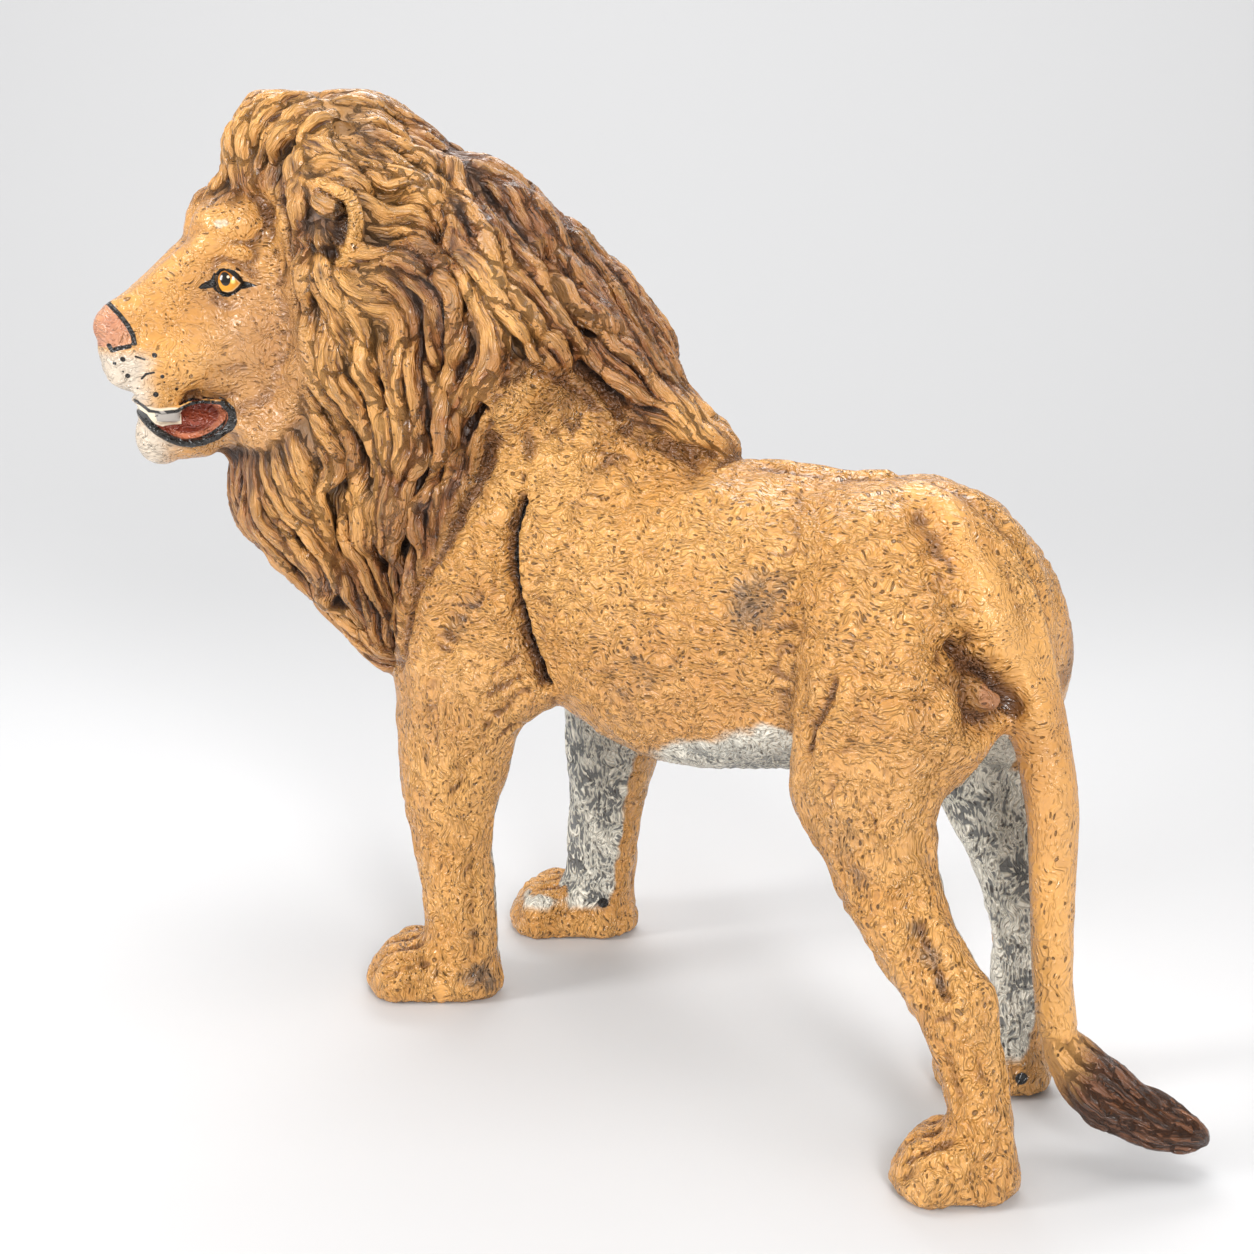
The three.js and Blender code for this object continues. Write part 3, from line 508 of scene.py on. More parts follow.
class Skin:
    """The vertices of a mesh as arrays, with the strokes of a sculptor as methods."""

    def __init__(self, mesh):
        self.mesh = mesh
        self.count = len(mesh.vertices)
        ends = np.empty(len(mesh.edges) * 2, np.int32)
        mesh.edges.foreach_get("vertices", ends)
        self.a, self.b = ends.reshape(-1, 2).T
        self.degree = sum(np.bincount(end, minlength=self.count) for end in (self.a, self.b))
        self.co = np.empty((self.count, 3))
        mesh.vertices.foreach_get("co", self.co.ravel())
        self.turn_normals()

    def turn_normals(self):
        self.mesh.vertices.foreach_set("co", self.co.astype(np.float32).ravel())
        self.mesh.update()
        self.normal = np.empty((self.count, 3))
        self.mesh.vertex_normals.foreach_get("vector", self.normal.ravel())
        self.tree = KDTree(self.count)
        for n, point in enumerate(self.co):
            self.tree.insert(point, n)
        self.tree.balance()

    def spread(self, values, times):
        """Averages a value per vertex with its neighbours, again and again."""
        flat = values.reshape(self.count, -1).astype(float)
        for _ in range(times):
            around = np.empty_like(flat)
            for n in range(flat.shape[1]):
                column = flat[:, n]
                around[:, n] = np.bincount(self.a, column[self.b], self.count)
                around[:, n] += np.bincount(self.b, column[self.a], self.count)
            flat = 0.5 * flat + 0.5 * around / self.degree[:, None]
        return flat.reshape(values.shape)

    def near(self, points, reach):
        """Every (vertex, sample, distance) closer than reach to one of the samples."""
        vertex, sample, away = [], [], []
        for n, point in enumerate(points):
            for _, index, distance in self.tree.find_range(point, reach[n]):
                vertex.append(index)
                sample.append(n)
                away.append(distance)
        return np.array(vertex, int), np.array(sample, int), np.array(away)

    def path_mask(self, points, wide):
        """1 on a path through the points, falling smoothly to 0 at `wide` from it."""
        samples = resample(points, 0.4)
        vertex, _, away = self.near(samples, np.full(len(samples), float(wide)))
        mask = np.zeros(self.count)
        np.maximum.at(mask, vertex, (1 - (away / wide) ** 2) ** 2)
        return mask

    def push(self, amount):
        self.co += self.normal * amount[:, None]


def resample(points, step):
    """Evenly spaced points along a polyline."""
    points = np.array([tuple(p) for p in points], float)
    lengths = np.linalg.norm(np.diff(points, axis=0), axis=1)
    along = np.concatenate([[0], np.cumsum(lengths)])
    wanted = np.arange(0, along[-1] + step / 2, step)
    return np.stack([np.interp(wanted, along, points[:, k]) for k in range(3)], axis=1)


skin = Skin(skin_mesh)
print("fine skin", skin.count, "vertices")

# %% [markdown]
# ## Creases and folds
#
# Some lines are cut, not added: the seam behind the shoulder, the folds at the joints, the slots
# between the locks, the parting under the nose, the nostrils and the clefts between the toes.
# Each one is a path, and the brush pushes the skin in along it. The cords of the muscles and the
# tail's root are paths too, but there the brush pulls the skin out.

# %% The lines on the body: a path on the lion's left side, how wide it is and how deep
SHOULDER_SEAM = [
    (-15.9, -9.4, 90.2), (-16.9, -10.3, 85.3), (-16.5, -11, 78.5), (-15.8, -10.3, 72.4),
    (-15.3, -9.1, 68.1), (-13.7, -8.4, 64.4), (-12.2, -7.8, 60.6),
]
FOLDS = [
    (SHOULDER_SEAM, 2, 2.6),
    ([(-12.7, -6.5, 106.8), (-14.8, -7.8, 101.3), (-16.1, -8.4, 94.8), (-15.9, -9.4, 90.2)], 2.4, 0.6),
    ([(-21.3, -12.4, 75.4), (-26.9, -14.5, 69.7), (-28.2, -15.7, 66.3)], 4, 0.9),
    ([(-16.2, -9.3, 64.7), (-17.3, -11.7, 63.3), (-18.5, -12.8, 61.6)], 1.1, 0.5),
    ([(-14.4, -8.9, 62.1), (-16.4, -11.5, 60.6), (-19.4, -13.2, 58.2)], 1.1, 0.6),
    ([(-14.3, -9.6, 59.2), (-16.2, -11.4, 57.6), (-19.4, -12.1, 54.5)], 1.1, 0.6),
    ([(-16, -10.8, 56.6), (-18.7, -11.6, 54.6), (-21.6, -12.2, 51.9)], 1.1, 0.5),
    ([(-18.1, -8.8, 52.3), (-20.8, -9.6, 49.7), (-22.4, -10.9, 47.9)], 1.1, 0.6),
    ([(-22.8, -12.3, 49.6), (-26, -13.4, 43.9), (-27.9, -13.4, 39.1)], 2.6, 0.7),
    ([(-27.3, -15.4, 66.4), (-30, -16.5, 55.9), (-32.2, -15.9, 44.9)], 3.5, 0.5),
    ([(-27.8, -10.3, 24.8), (-27.4, -10.2, 17.5), (-27, -10.1, 10.2)], 2.2, 0.6),
    ([(46.9, -11.8, 72.7), (46.5, -12.1, 70.8), (45.2, -12.1, 68.5), (43.4, -11.4, 65.8),
      (42.8, -11.4, 62.9)], 1.8, 1.1),
    ([(49, 1.8, 97.2), (52.7, -1.2, 93.9), (56.5, -2.9, 89.8), (59.3, -4.5, 85.6),
      (61.1, -5.5, 80.5)], 7, 1),
    ([(61.1, -5.5, 80.5), (60.8, -7.3, 75.1), (60.2, -8.6, 71.7)], 4.2, 1),
    ([(61.8, -8.7, 39), (63.1, -8.8, 36.4), (64.7, -9.1, 33.7), (66, -9.5, 30.7)], 2.2, 0.9),
    ([(58.3, -10.1, 43), (60.9, -9.9, 37.7), (63, -10.1, 32.3), (65.6, -10, 26.9)], 3, 0.4),
    ([(66.4, -9.4, 20.8), (68.3, -9.5, 16.9), (70.2, -9.5, 12.9)], 2.2, 0.5),
    ([(71.1, -6, 30.3), (71.4, -7.3, 24.8), (71.5, -8.3, 19.1)], 2.2, 0.5),
    ([(28.1, 1.7, 94.4), (32.1, -4.2, 87), (34, -6.4, 78.7), (35, -6.7, 69.9)], 6, 0.7),
    ([(8.1, 9.4, 98.9), (14.3, 9.6, 97.4), (22.1, 8.2, 97.2)], 1.6, 0.5),
    ([(-34.7, -16.1, 8.7), (-36.8, -18.8, 8.8), (-39.8, -20.3, 7.7)], 1.3, 0.7),
    ([(-34, -15.6, 7.2), (-35.6, -18.8, 6.9), (-38.2, -21, 5.4)], 1.3, 0.7),
    ([(70.5, -14, 7.9), (66.3, -13.5, 8.4), (63.6, -14.4, 6.2)], 1.3, 0.7),
    ([(70.6, -14.2, 6.9), (67.7, -15.6, 7.5), (64.1, -15.5, 4)], 1.3, 0.6),
]
RIDGES = [  # the same, but raised
    ([(49.3, -12.2, 73), (48.6, -12.8, 68), (46.6, -12.8, 63), (45, -12.2, 58)], 3.2, 0.7),
    ([(6.7, 11, 100.3), (14.3, 11.2, 98.5), (24, 10.6, 97.4), (31, 10.2, 97.3),
      (40, 10.3, 98)], 2.4, 0.6),
    ([(62, -7.4, 41.5), (64, -7.8, 38), (66.4, -8.4, 33), (68.3, -8.8, 28)], 2, 0.6),
    ([(-19.8, -12, 96), (-20.6, -13.2, 86), (-19.8, -13.4, 76), (-18.6, -12.6, 68)], 3.6, 0.5),
]
TAIL_ROOT = [
    (48, 6, 98.4), (52.4, 5.5, 97.1), (57.6, 3.3, 92.6), (61.7, 2.6, 87.8), (64.9, 3, 81.7),
    (66.6, 6.4, 74), (68.4, 7.6, 67.7),
]
TAIL_LINES = [  # not mirrored; the first is raised, so its depth is below nothing
    (TAIL_ROOT, 3.8, -1.2),
    ([(52, 1.5, 95.5), (55.5, -0.2, 92.7), (59.4, -2.3, 88), (61.8, -2.8, 84.3),
      (63.8, -2.6, 80.3)], 3.8, 1.1),
    ([(50, 10, 98.2), (55.5, 9.2, 96.2), (60.4, 9.8, 93.6), (64.6, 11.6, 88)], 3, 1.2),
    ([(64.6, 11.6, 88), (67.6, 13, 82), (69.6, 14, 76), (70.6, 15, 70)], 3, 1.5),
    ([(63.8, -2.6, 80.3), (64.6, -1.2, 77), (65.9, 1.9, 74), (66.4, 4.2, 69.4)], 3.4, 2.6),
]
MANE_SLOTS = [
    [(-35.8, -6, 137.3), (-33, -8.1, 134.4), (-32.3, -11.7, 129.9)],
    [(-35.6, -8.5, 135.1), (-31.3, -11.2, 130), (-29.2, -14.4, 125.6)],
    [(-28.4, -11.8, 127.8), (-26, -12.6, 124.2), (-24.9, -12.3, 119.6)],
    [(-29.9, -12.5, 110.6), (-28.9, -14, 108.4), (-27.8, -13.6, 106.1)],
    [(-30.6, -15.4, 100.5), (-29.7, -15, 96.5), (-30.7, -14.9, 93.9)],
    [(-13, -5, 116.6), (-15.4, -9.2, 114.6), (-16.8, -11.1, 112.4), (-17.6, -11.9, 109.3)],
    [(-22, -11.8, 104.6), (-25.9, -11.8, 101.3), (-26.6, -12.8, 98.2), (-30, -13, 92.1)],
    [(-31, -14, 93), (-35.7, -15.5, 88), (-36.4, -15.5, 83.4), (-40.3, -12.8, 77.3)],
    [(-50.7, -18.5, 88.6), (-51.7, -17.5, 83.2), (-52.3, -16.3, 77.8)],
    [(-46.7, -17.9, 92.4), (-47.4, -16.7, 87.1), (-50.4, -14.8, 79.5)],
    [(-59.7, -9.7, 64.4), (-57.2, -9.2, 63.7), (-55.9, -8, 61.8)],
    [(-22.1, 3.8, 128), (-16.5, -0.7, 123.1), (-14.2, -0.2, 119.4), (-11.9, 0.7, 117.1),
      (-7.4, 5.1, 115.5)],
    [(-10.2, -1.2, 111.2), (-7.4, 0.4, 108.1), (-3.8, 1, 104.5)],
    [(-59.1, -22.5, 83), (-57.2, -21, 80.4), (-57, -19.1, 77.6)],
    [(-25, -4.6, 129.9), (-22, -6.7, 126.3), (-19.5, -7.5, 123.4)],
]
SLOT_WIDE = 1.8
SLOT_DEEP = 1.7
UNDER_TAIL = [(64, -4, 77), (65.4, -1.7, 73.3), (65.6, -0.8, 69.5)]
print("lines on the body", len(FOLDS) + len(RIDGES) + len(TAIL_LINES) + len(MANE_SLOTS))

# %% The lines on the face, in head millimetres
FACE_FOLDS = [
    ([(14.1, 5.3, -12.5), (15.7, 11, -9.6), (18.1, 11.9, -8.1), (21.6, 13.4, -6.9)], 2.2, 0.6),
    ([(20.7, 12.1, -14.3), (22.9, 13.2, -12.9), (25.7, 15.3, -11.5)], 2, 0.5),
    ([(17.2, 5.6, -22), (19.3, 7.3, -20.8), (21, 13.3, -18.5)], 2, 0.5),
    ([(5.5, 7.5, -4.3), (6, 8.2, -5.9), (6.4, 8.5, -7.5)], 1.4, 0.4),
    ([(18.5, 8.8, 3.9), (20.4, 11.1, 2.7), (22.8, 14, 3.3)], 1.2, 0.3),
    ([(27.3, 10.6, 27.9), (28.8, 13.5, 24.9), (29.4, 18.5, 21.9)], 3.2, 1),
    ([(29.5, 22.1, 20.6), (30.3, 21, 12.6), (30.3, 22.9, 4.9)], 2.4, 0.8),
    ([(36, 27.8, 0.4), (36.8, 29.6, -2.6), (37.6, 30.4, -4.4)], 1.5, 1.4),
    ([(41.3, 31.9, -8.1), (41.6, 32, -10.5), (41.2, 31.7, -12.4)], 1.5, 1.4),
    ([(36.4, 24.3, -20.4), (36.3, 24.1, -23.8), (35.1, 21.4, -26.7)], 2.2, 1.5),
    ([(39.5, 18.6, 32.7), (40.1, 20.6, 30.4), (43, 20.6, 28.9)], 1.8, 1.4),
    ([(37.4, 26.6, 18.8), (37.2, 26.4, 16.9), (36.6, 26.2, 15.2)], 2.4, 2.2),
    ([(33.8, 25.2, 13.2), (35.1, 26.4, 12.6)], 1.6, 1.2),
    ([(20.7, 11.1, 7), (20.8, 11.1, 7.2)], 3, 0.5),
]
NOSE_CUTS = [  # the parting under the nose and the nostrils
    ([(0.6, 0, -4.4), (0.9, 0, -7), (2, 0, -9.6), (3.4, 0, -11.6)], 1, 0.9),
    ([(0.9, 1.6, -3.4), (2.2, 3.1, -3.9), (3.8, 4.8, -3.4)], 0.9, 0.9),
]
print("lines on the face", len(FACE_FOLDS) + len(NOSE_CUTS))

# %% Cut the lines
LION_MIDDLE = 10.344  # the y of the lion's middle plane
HIND_STEP = 12.8  # the right hind paw stands this far ahead of the left one
HIP = 66  # mm over the floor, where that step begins
HIND_FROM = 36  # x of the foremost point of the hind legs
HALF_PAW = 3.4  # half a paw's width, in radii of a toe
CLEFT_STEP = 1.68  # radii of a toe from one cleft to the next
CUT_LIMITS = (-1.6, 2.9)  # mm, the highest ridge and the deepest cut
HOLLOW_WIDE = 6.0
HOLLOW_CARVE = np.array((-3.4, 0.8, 0))  # how the skin under the tail moves, in mm
KNOB_CLEAR = 1.9  # mm round the knob that stay
KNOB_FADE = 1.4


def mirrored(points):
    """The same path on the lion's right side, where the hind leg stands further forward."""
    path = []
    for x, y, z in points:
        step = HIND_STEP * min(max((HIP - z) / HIP, 0), 1) if x > HIND_FROM else 0
        path.append((x - step, 2 * LION_MIDDLE - y, z))
    return path


def head_path(points):
    return [[tuple(on_head(*p)) for p in side_points] for side_points in both(points)]


PAW_TURN = Matrix.Rotation(math.radians(34), 4, "Z")
PAWS = [  # ankle x and y, how far the toes reach ahead, half width, height
    (4.6, -18.5, 15, 8, 9.6), (4.6, 17.5, 15, 8, 9.6),
    (109, -16, 12, 7.2, 9.4), (96.2, 15, 12, 7.2, 9.4),
]


def toe_clefts(x, y, ahead, wide, high):
    place = Matrix.Translation(on_body(x, y, 0)) @ PAW_TURN
    for n in (-1, 0, 1):
        across = n * wide / HALF_PAW * CLEFT_STEP
        front = -ahead + 0.4 + 1.2 * abs(n)
        spots = [
            (front + 8.5, across * 0.8, high - 0.6),
            (front + 5, across, high - 0.6),
            (front + 2.2, across, high - 2.4),
            (front + 0.6, across, high - 5),
            (front + 0.3, across, 1.2),
        ]
        yield [tuple(place @ Vector(p)) for p in spots]


slots = [(slot, SLOT_WIDE, SLOT_DEEP) for slot in MANE_SLOTS]
lines = [
    (side, wide, depth * sign)
    for sign, rows in ((1, FOLDS), (-1, RIDGES), (1, slots))
    for path, wide, depth in rows
    for side in (path, mirrored(path))
]
lines += TAIL_LINES
lines += [(path, 1.5, 1.2) for paw in PAWS for path in toe_clefts(*paw)]
for points, wide, depth in NOSE_CUTS + FACE_FOLDS:
    lines += [(path, wide, depth) for path in head_path(points)]
depths = np.zeros(skin.count)
for path, wide, depth in lines:
    depths += skin.path_mask(path, wide) * depth
depths = np.clip(depths, *CUT_LIMITS)
skin.push(-skin.spread(depths, 1))
from_knob = np.linalg.norm(skin.co - np.array(KNOB), axis=1)
off_knob = np.clip((from_knob - KNOB_CLEAR) / KNOB_FADE, 0, 1)
under_tail = skin.path_mask(UNDER_TAIL, HOLLOW_WIDE) * off_knob
skin.co += under_tail[:, None] * HOLLOW_CARVE
skin.turn_normals()
print("cut lines move", int((depths > 0.05).sum()), "vertices")

# %% [markdown]
# ## Where the mane is
#
# The mane is a ring round the face, a collar down the chest and a cape over the shoulders. Seen
# from the side, one outline holds it together with the head, and a second one, drawn on the
# head, takes the bare face out again, as a mask takes the rims of the ears. Along its edge the
# skin steps in a little, so that the cape lies over the shoulder. The tuft is what lies on a
# roll round the tail's end.

# %% Outlines of the mane and of the bare face
TUFT = [(112.6, 1, 16.5, 3.3), (117.4, 3, 11, 4.2), (124, 6.5, 7.6, 4.4), (130.8, 10.2, 5.6, 2)]
MANE_SIDE = [  # the mane and the head, seen from the side of the body
    (-120, 50), (-46.5, 50), (-46.5, 60), (-38.6, 62), (-37.5, 72.7), (-30.7, 82.1), (-25.7, 92.3),
    (-21.7, 104.2), (-17.3, 109.3), (-13.5, 112), (-10.9, 110.1), (-7, 106.2), (-3.3, 103.2),
    (-0.1, 101.1), (3.7, 99.8), (7.5, 98.6), (9.5, 97.5), (10.5, 104), (10.5, 180), (-120, 180),
]
FACE_SIDE = [  # the bare face, seen from the side of the head
    (-10, 19), (16, 19.5), (23, 20.5), (28.5, 22.5), (29.3, 17), (29.6, 11), (30, 5), (30.6, -1),
    (31, -8), (30, -14), (25.5, -19.5), (19, -22), (17, -26), (-10, -26),
]
EDGE_WIDE = 1.3  # mm, the step at the mane's edge
EDGE_DEEP = 0.9


def beyond(points, roll):
    """How far each point is outside a roll of (x, y, z, radius) balls."""
    least = np.full(len(points), 1e3)
    for (*start, first), (*end, second) in zip(roll, roll[1:]):
        start, way = np.array(start), np.array(end) - np.array(start)
        share = np.clip((points - start) @ way / (way @ way), 0, 1)
        away = np.linalg.norm(points - start - share[:, None] * way, axis=1)
        least = np.minimum(least, away - (first + (second - first) * share))
    return least


def distance_to(points, spots):
    return np.min([np.linalg.norm(points - np.array(s), axis=1) for s in spots], axis=0)


def smooth_step(value, low, high):
    share = np.clip((value - low) / (high - low), 0, 1)
    return share * share * (3 - 2 * share)


def head_coordinates(points):
    away = points - np.array(NOSE_TIP)
    return away @ np.array((HEAD_BACK, HEAD_RIGHT, UP)).T


def inside_outline(points, outline):
    """Signed distance to a closed outline in the plane, positive inside."""
    away = np.full(len(points), 1e3)
    inside = np.zeros(len(points), bool)
    for (x0, y0), (x1, y1) in zip(outline, outline[1:] + outline[:1]):
        start, way = np.array((x0, y0)), np.array((x1 - x0, y1 - y0))
        share = np.clip((points - start) @ way / (way @ way + 1e-12), 0, 1)
        away = np.minimum(away, np.linalg.norm(points - start - share[:, None] * way, axis=1))
        if y0 == y1:
            continue
        straddles = (y0 > points[:, 1]) != (y1 > points[:, 1])
        inside ^= straddles & (points[:, 0] < x0 + (points[:, 1] - y0) / (y1 - y0) * (x1 - x0))
    return np.where(inside, away, -away)


def fore_part(points):
    """How far a point is inside the mane and the head, in mm; negative on the body."""
    return inside_outline(points[:, (0, 2)], MANE_SIDE)


def bare_face(points):
    """How far a point is inside the bare face, in mm; negative in the mane."""
    return inside_outline(head_coordinates(points)[:, (0, 2)], FACE_SIDE)


ear_lines = np.array([p for path in head_path(resample(EAR_RIM, 0.7).tolist()) for p in path])


def ear_zone(points):
    """1 on the rim of each ear, which keeps its own smooth shape under the comb."""
    away = np.full(len(points), 9.0)
    close = np.linalg.norm(np.abs(head_coordinates(points)) - (35.5, 27, 16), axis=1) < 14
    away[close] = distance_to(points[close], ear_lines)
    return smooth_step(away, 2.3, 1.4)


def mane_mask(points):
    on_mane = smooth_step(fore_part(points), -0.8, 1.2) * smooth_step(bare_face(points), 1.6, -1.2)
    return on_mane * (1 - ear_zone(points))


step_in = np.exp(-(((fore_part(skin.co) + EDGE_WIDE) / EDGE_WIDE) ** 2))
skin.push(-EDGE_DEEP * step_in)
skin.turn_normals()
mane = mane_mask(skin.co)
tail_roll = [(*on_body(x, y, z), radius) for x, y, z, radius in TUFT]
tuft = smooth_step(beyond(skin.co, tail_roll), 2.0, 0.5)
print("mane", int((mane > 0.5).sum()), "vertices, tuft", int((tuft > 0.5).sum()))

# %% [markdown]
# ## Hair, lock by lock
#
# Sculpted hair follows a flow. Here a few strokes are drawn on the side of the head and of the
# body, as a sculptor marks a block before cutting, and every place takes the heading of the
# strokes near it. A strand starts at a root, walks along that flow on the skin, and leaves a
# ridge that swells and then runs out to a point.

# %% A smooth random field


class LatticeNoise:
    def __init__(self, seed):
        self.table = np.random.default_rng(seed).uniform(-1, 1, (32, 32, 32))

    def __call__(self, points):
        cell = np.floor(points).astype(int)
        share = points - cell
        share = share * share * (3 - 2 * share)
        total = np.zeros(len(points))
        for corner in np.ndindex(2, 2, 2):
            weight = np.prod(np.where(corner, share, 1 - share), axis=1)
            total += weight * self.table[tuple(((cell + corner) % 32).T)]
        return total


sway_noise = LatticeNoise(31)
print("noise lattice of", sway_noise.table.size, "numbers")

# %% The flow and the walk
HEAD_STROKES = [  # how far back and how far up, in head millimetres
    [(36.1, 35.8), (31.4, 34.8), (27.1, 33), (24.7, 29.1), (24, 24.9)],
    [(40.1, 33.9), (33.8, 32.7), (29.4, 30.8), (27.3, 27.9)],
    [(27.8, 33.9), (24.4, 31), (23.2, 26.5), (21.4, 21.3)],
    [(38, 29.7), (34.4, 28.5), (31.9, 27)],
    [(38.1, 36.4), (45.6, 36), (49.4, 33.8), (51.8, 30.6)],
    [(40.1, 32), (44.4, 29.6), (49.9, 28), (53.6, 25.7)],
    [(32.4, 27.1), (36.9, 27.3), (39.5, 24.9), (39.8, 21.7)],
    [(33, 29.2), (38.7, 29.1), (42.7, 26.1), (43.4, 22.3)],
    [(41.7, 21.4), (46.2, 22), (49.3, 20.8), (50.3, 18.1)],
    [(40.4, 20), (46, 19), (48.2, 16.8)],
    [(40.9, 16.9), (45.4, 15.7), (46.5, 14.1)],
    [(36.6, 10.8), (40, 10.4), (43.5, 9.6), (45.8, 7.2)],
    [(34.9, 10.3), (35.8, 7.3), (38.6, 5.8), (42, 4.4)],
    [(31.5, 14.3), (31.8, 9.9), (32.7, 3.4), (32.9, -2)],
    [(33, 6.9), (36.5, 2), (39, -2.5), (41.7, -5.2)],
    [(37.6, 5.5), (41.3, 0.6), (43.1, -3.9)],
    [(33, 3.5), (33.7, -1.9), (35.3, -6.7), (38.2, -9.9)],
    [(30.6, 4.9), (30.8, -1.3), (31.3, -6), (32.4, -11.2)],
    [(31.2, -11.3), (32.4, -16.3), (33.1, -21.9)],
    [(28.2, -11.6), (28.3, -17.9), (29.6, -24.9), (32.4, -31.1)],
    [(21.1, -18.9), (22.6, -25.6), (23.9, -31.1)],
    [(19.5, -25), (21, -30.2), (22.2, -32.8)],
    [(25.5, -18.2), (27.1, -24.8), (30.3, -31.1)],
    [(49.9, 33.3), (54.3, 29.6), (54.9, 26.4), (53.8, 22.6)],
    [(52.1, 24.2), (51.9, 19.8), (48.6, 14.6)],
    [(44.5, 5.3), (45.8, 1.5), (44, -2.4), (42.6, -6.3)],
    [(37.5, -10.7), (37.7, -18), (37.2, -23)],
]
BODY_STROKES = [  # x and z of the body
    [(-36.3, 133.5), (-32.9, 128.5), (-29.1, 122.6), (-30.1, 114.5), (-29.2, 108.4)],
    [(-37.1, 138.7), (-30, 134.4), (-24.6, 128.6), (-21.7, 123.6)],
    [(-21.2, 122.8), (-19.2, 116.9), (-20.4, 110.6), (-25.6, 105.4)],
    [(-24.4, 129.8), (-19.6, 125.5), (-15.2, 119.6), (-13.7, 115.6)],
    [(-17.1, 121.3), (-16.5, 116.9), (-17.6, 113.9), (-21.4, 109.3)],
    [(-28.9, 127.1), (-25.3, 122.7), (-24.6, 116.5), (-28.2, 109.8)],
    [(-35.2, 112.9), (-36, 108.2), (-35.9, 100.2), (-38, 91.5)],
    [(-32.3, 111.4), (-31.1, 105.3), (-32.9, 97.1), (-35.3, 88.6), (-40.2, 78.3)],
    [(-28.4, 106.9), (-28.5, 100.6), (-31.7, 93)],
    [(-39.8, 104.7), (-41.7, 97.9), (-42.3, 87.8), (-47.7, 76.8)],
    [(-47.4, 90.6), (-49.2, 83.3), (-51.3, 76)],
    [(-25.6, 105.4), (-27.6, 99.8), (-31.2, 92.4)],
    [(-50.7, 88.6), (-51.9, 81.3), (-51.3, 74.3), (-51.1, 67.6), (-50.6, 59.5)],
    [(-49.1, 75.7), (-48.7, 68.7), (-40, 62.6)],
    [(-58.5, 83), (-56.3, 78.6), (-55.1, 74), (-58.4, 67.3)],
    [(-63.4, 70), (-63.4, 63.6), (-58.9, 60), (-53.4, 57.6)],
    [(-56.1, 90.5), (-54.5, 86.1), (-53.4, 79.6), (-52.1, 73.4)],
    [(-44, 142.2), (-39.3, 139.8), (-36.1, 137.3)],
    [(-33.9, 137.9), (-29.1, 134.3), (-23.7, 129.8), (-20.2, 126.5)],
    [(-27.1, 134.2), (-22.8, 129.5), (-17.6, 120.7)],
    [(-26.2, 132.3), (-20, 126.1), (-14.1, 121.6), (-9.8, 116.8), (-8.1, 113)],
    [(-20.6, 125), (-14.2, 120.7), (-9.4, 117.4), (-8.2, 114.5), (-4.6, 110.2)],
    [(-21.4, 120.1), (-12.4, 115.4), (-9.2, 108.5), (2.2, 104.7)],
    [(-14.2, 119.4), (-10.7, 116.9), (-6.2, 114.4), (0.1, 108), (4.6, 102.7)],
    [(-10.5, 114.2), (-6.9, 112.5), (-3.4, 111), (1.3, 106.3), (4.4, 102.6)],
    [(-11.5, 110.7), (-8.8, 106.6), (-3.8, 103.3), (-0.2, 101.4)],
]
STROKE_STEP = 1.5
STROKE_REACH = 2.0  # mm, within which one stroke rules alone


def stroke_samples(strokes, level):
    """Places along all strokes and their headings; `level` is what the first number runs along."""
    places, headings = [], []
    for stroke in strokes:
        line = resample([(a, b, 0) for a, b in stroke], STROKE_STEP)[:, :2]
        ways = np.gradient(line, axis=0)
        ways /= np.linalg.norm(ways, axis=1)[:, None]
        places.append(line)
        headings.append(ways[:, :1] * np.array(level) + ways[:, 1:] * np.array(UP))
    return np.concatenate(places), np.concatenate(headings)


head_samples = stroke_samples(HEAD_STROKES, HEAD_BACK)
body_samples = stroke_samples(BODY_STROKES, (1, 0, 0))
TAIL_END = np.array(on_body(134, 12, 4))


def hair_flow(points):
    flow = np.zeros_like(points)
    head_view = head_coordinates(points)[:, (0, 2)]
    for view, (places, headings) in ((head_view, head_samples), (points[:, (0, 2)], body_samples)):
        away = ((view[:, None] - places[None]) ** 2).sum(2)
        flow += (1 / (away + STROKE_REACH**2) ** 2) @ headings
    return flow / np.linalg.norm(flow, axis=1)[:, None]


def tail_flow(points):
    way = TAIL_END - points
    return way / np.linalg.norm(way, axis=1)[:, None]


def walk(skin, roots, flow, lengths, step):
    """Walks all roots along the flow at once; returns points, normals and tangents by step."""
    place = roots.copy()
    trail = []
    for _ in range(int(lengths.max() / step) + 1):
        found = [skin.tree.find(p)[1] for p in place]
        normal = skin.normal[found]
        place = place - normal * ((place - skin.co[found]) * normal).sum(1)[:, None]
        way = flow(place)
        side = np.cross(normal, way)
        turn = 0.5 * sway_noise(place / 13) + 0.5 * sway_noise(place / 5 + 9)
        way = way + side * turn[:, None]
        way -= normal * (way * normal).sum(1)[:, None]
        way /= np.linalg.norm(way, axis=1)[:, None] + 1e-9
        trail.append((place.copy(), normal, way))
        place = place + way * step
    return [np.array(column) for column in zip(*trail)]


def scattered(skin, allowed, gap, draw):
    """Vertices in random order, none closer than gap to one taken before it."""
    taken = []
    blocked = np.zeros(skin.count, bool)
    for n in draw.permutation(np.flatnonzero(allowed)):
        if blocked[n]:
            continue
        taken.append(n)
        for _, index, _ in skin.tree.find_range(skin.co[n], gap):
            blocked[index] = True
    return np.array(taken)


print("strokes on the head and on the body", len(HEAD_STROKES), len(BODY_STROKES))

# %% Ridges of hair


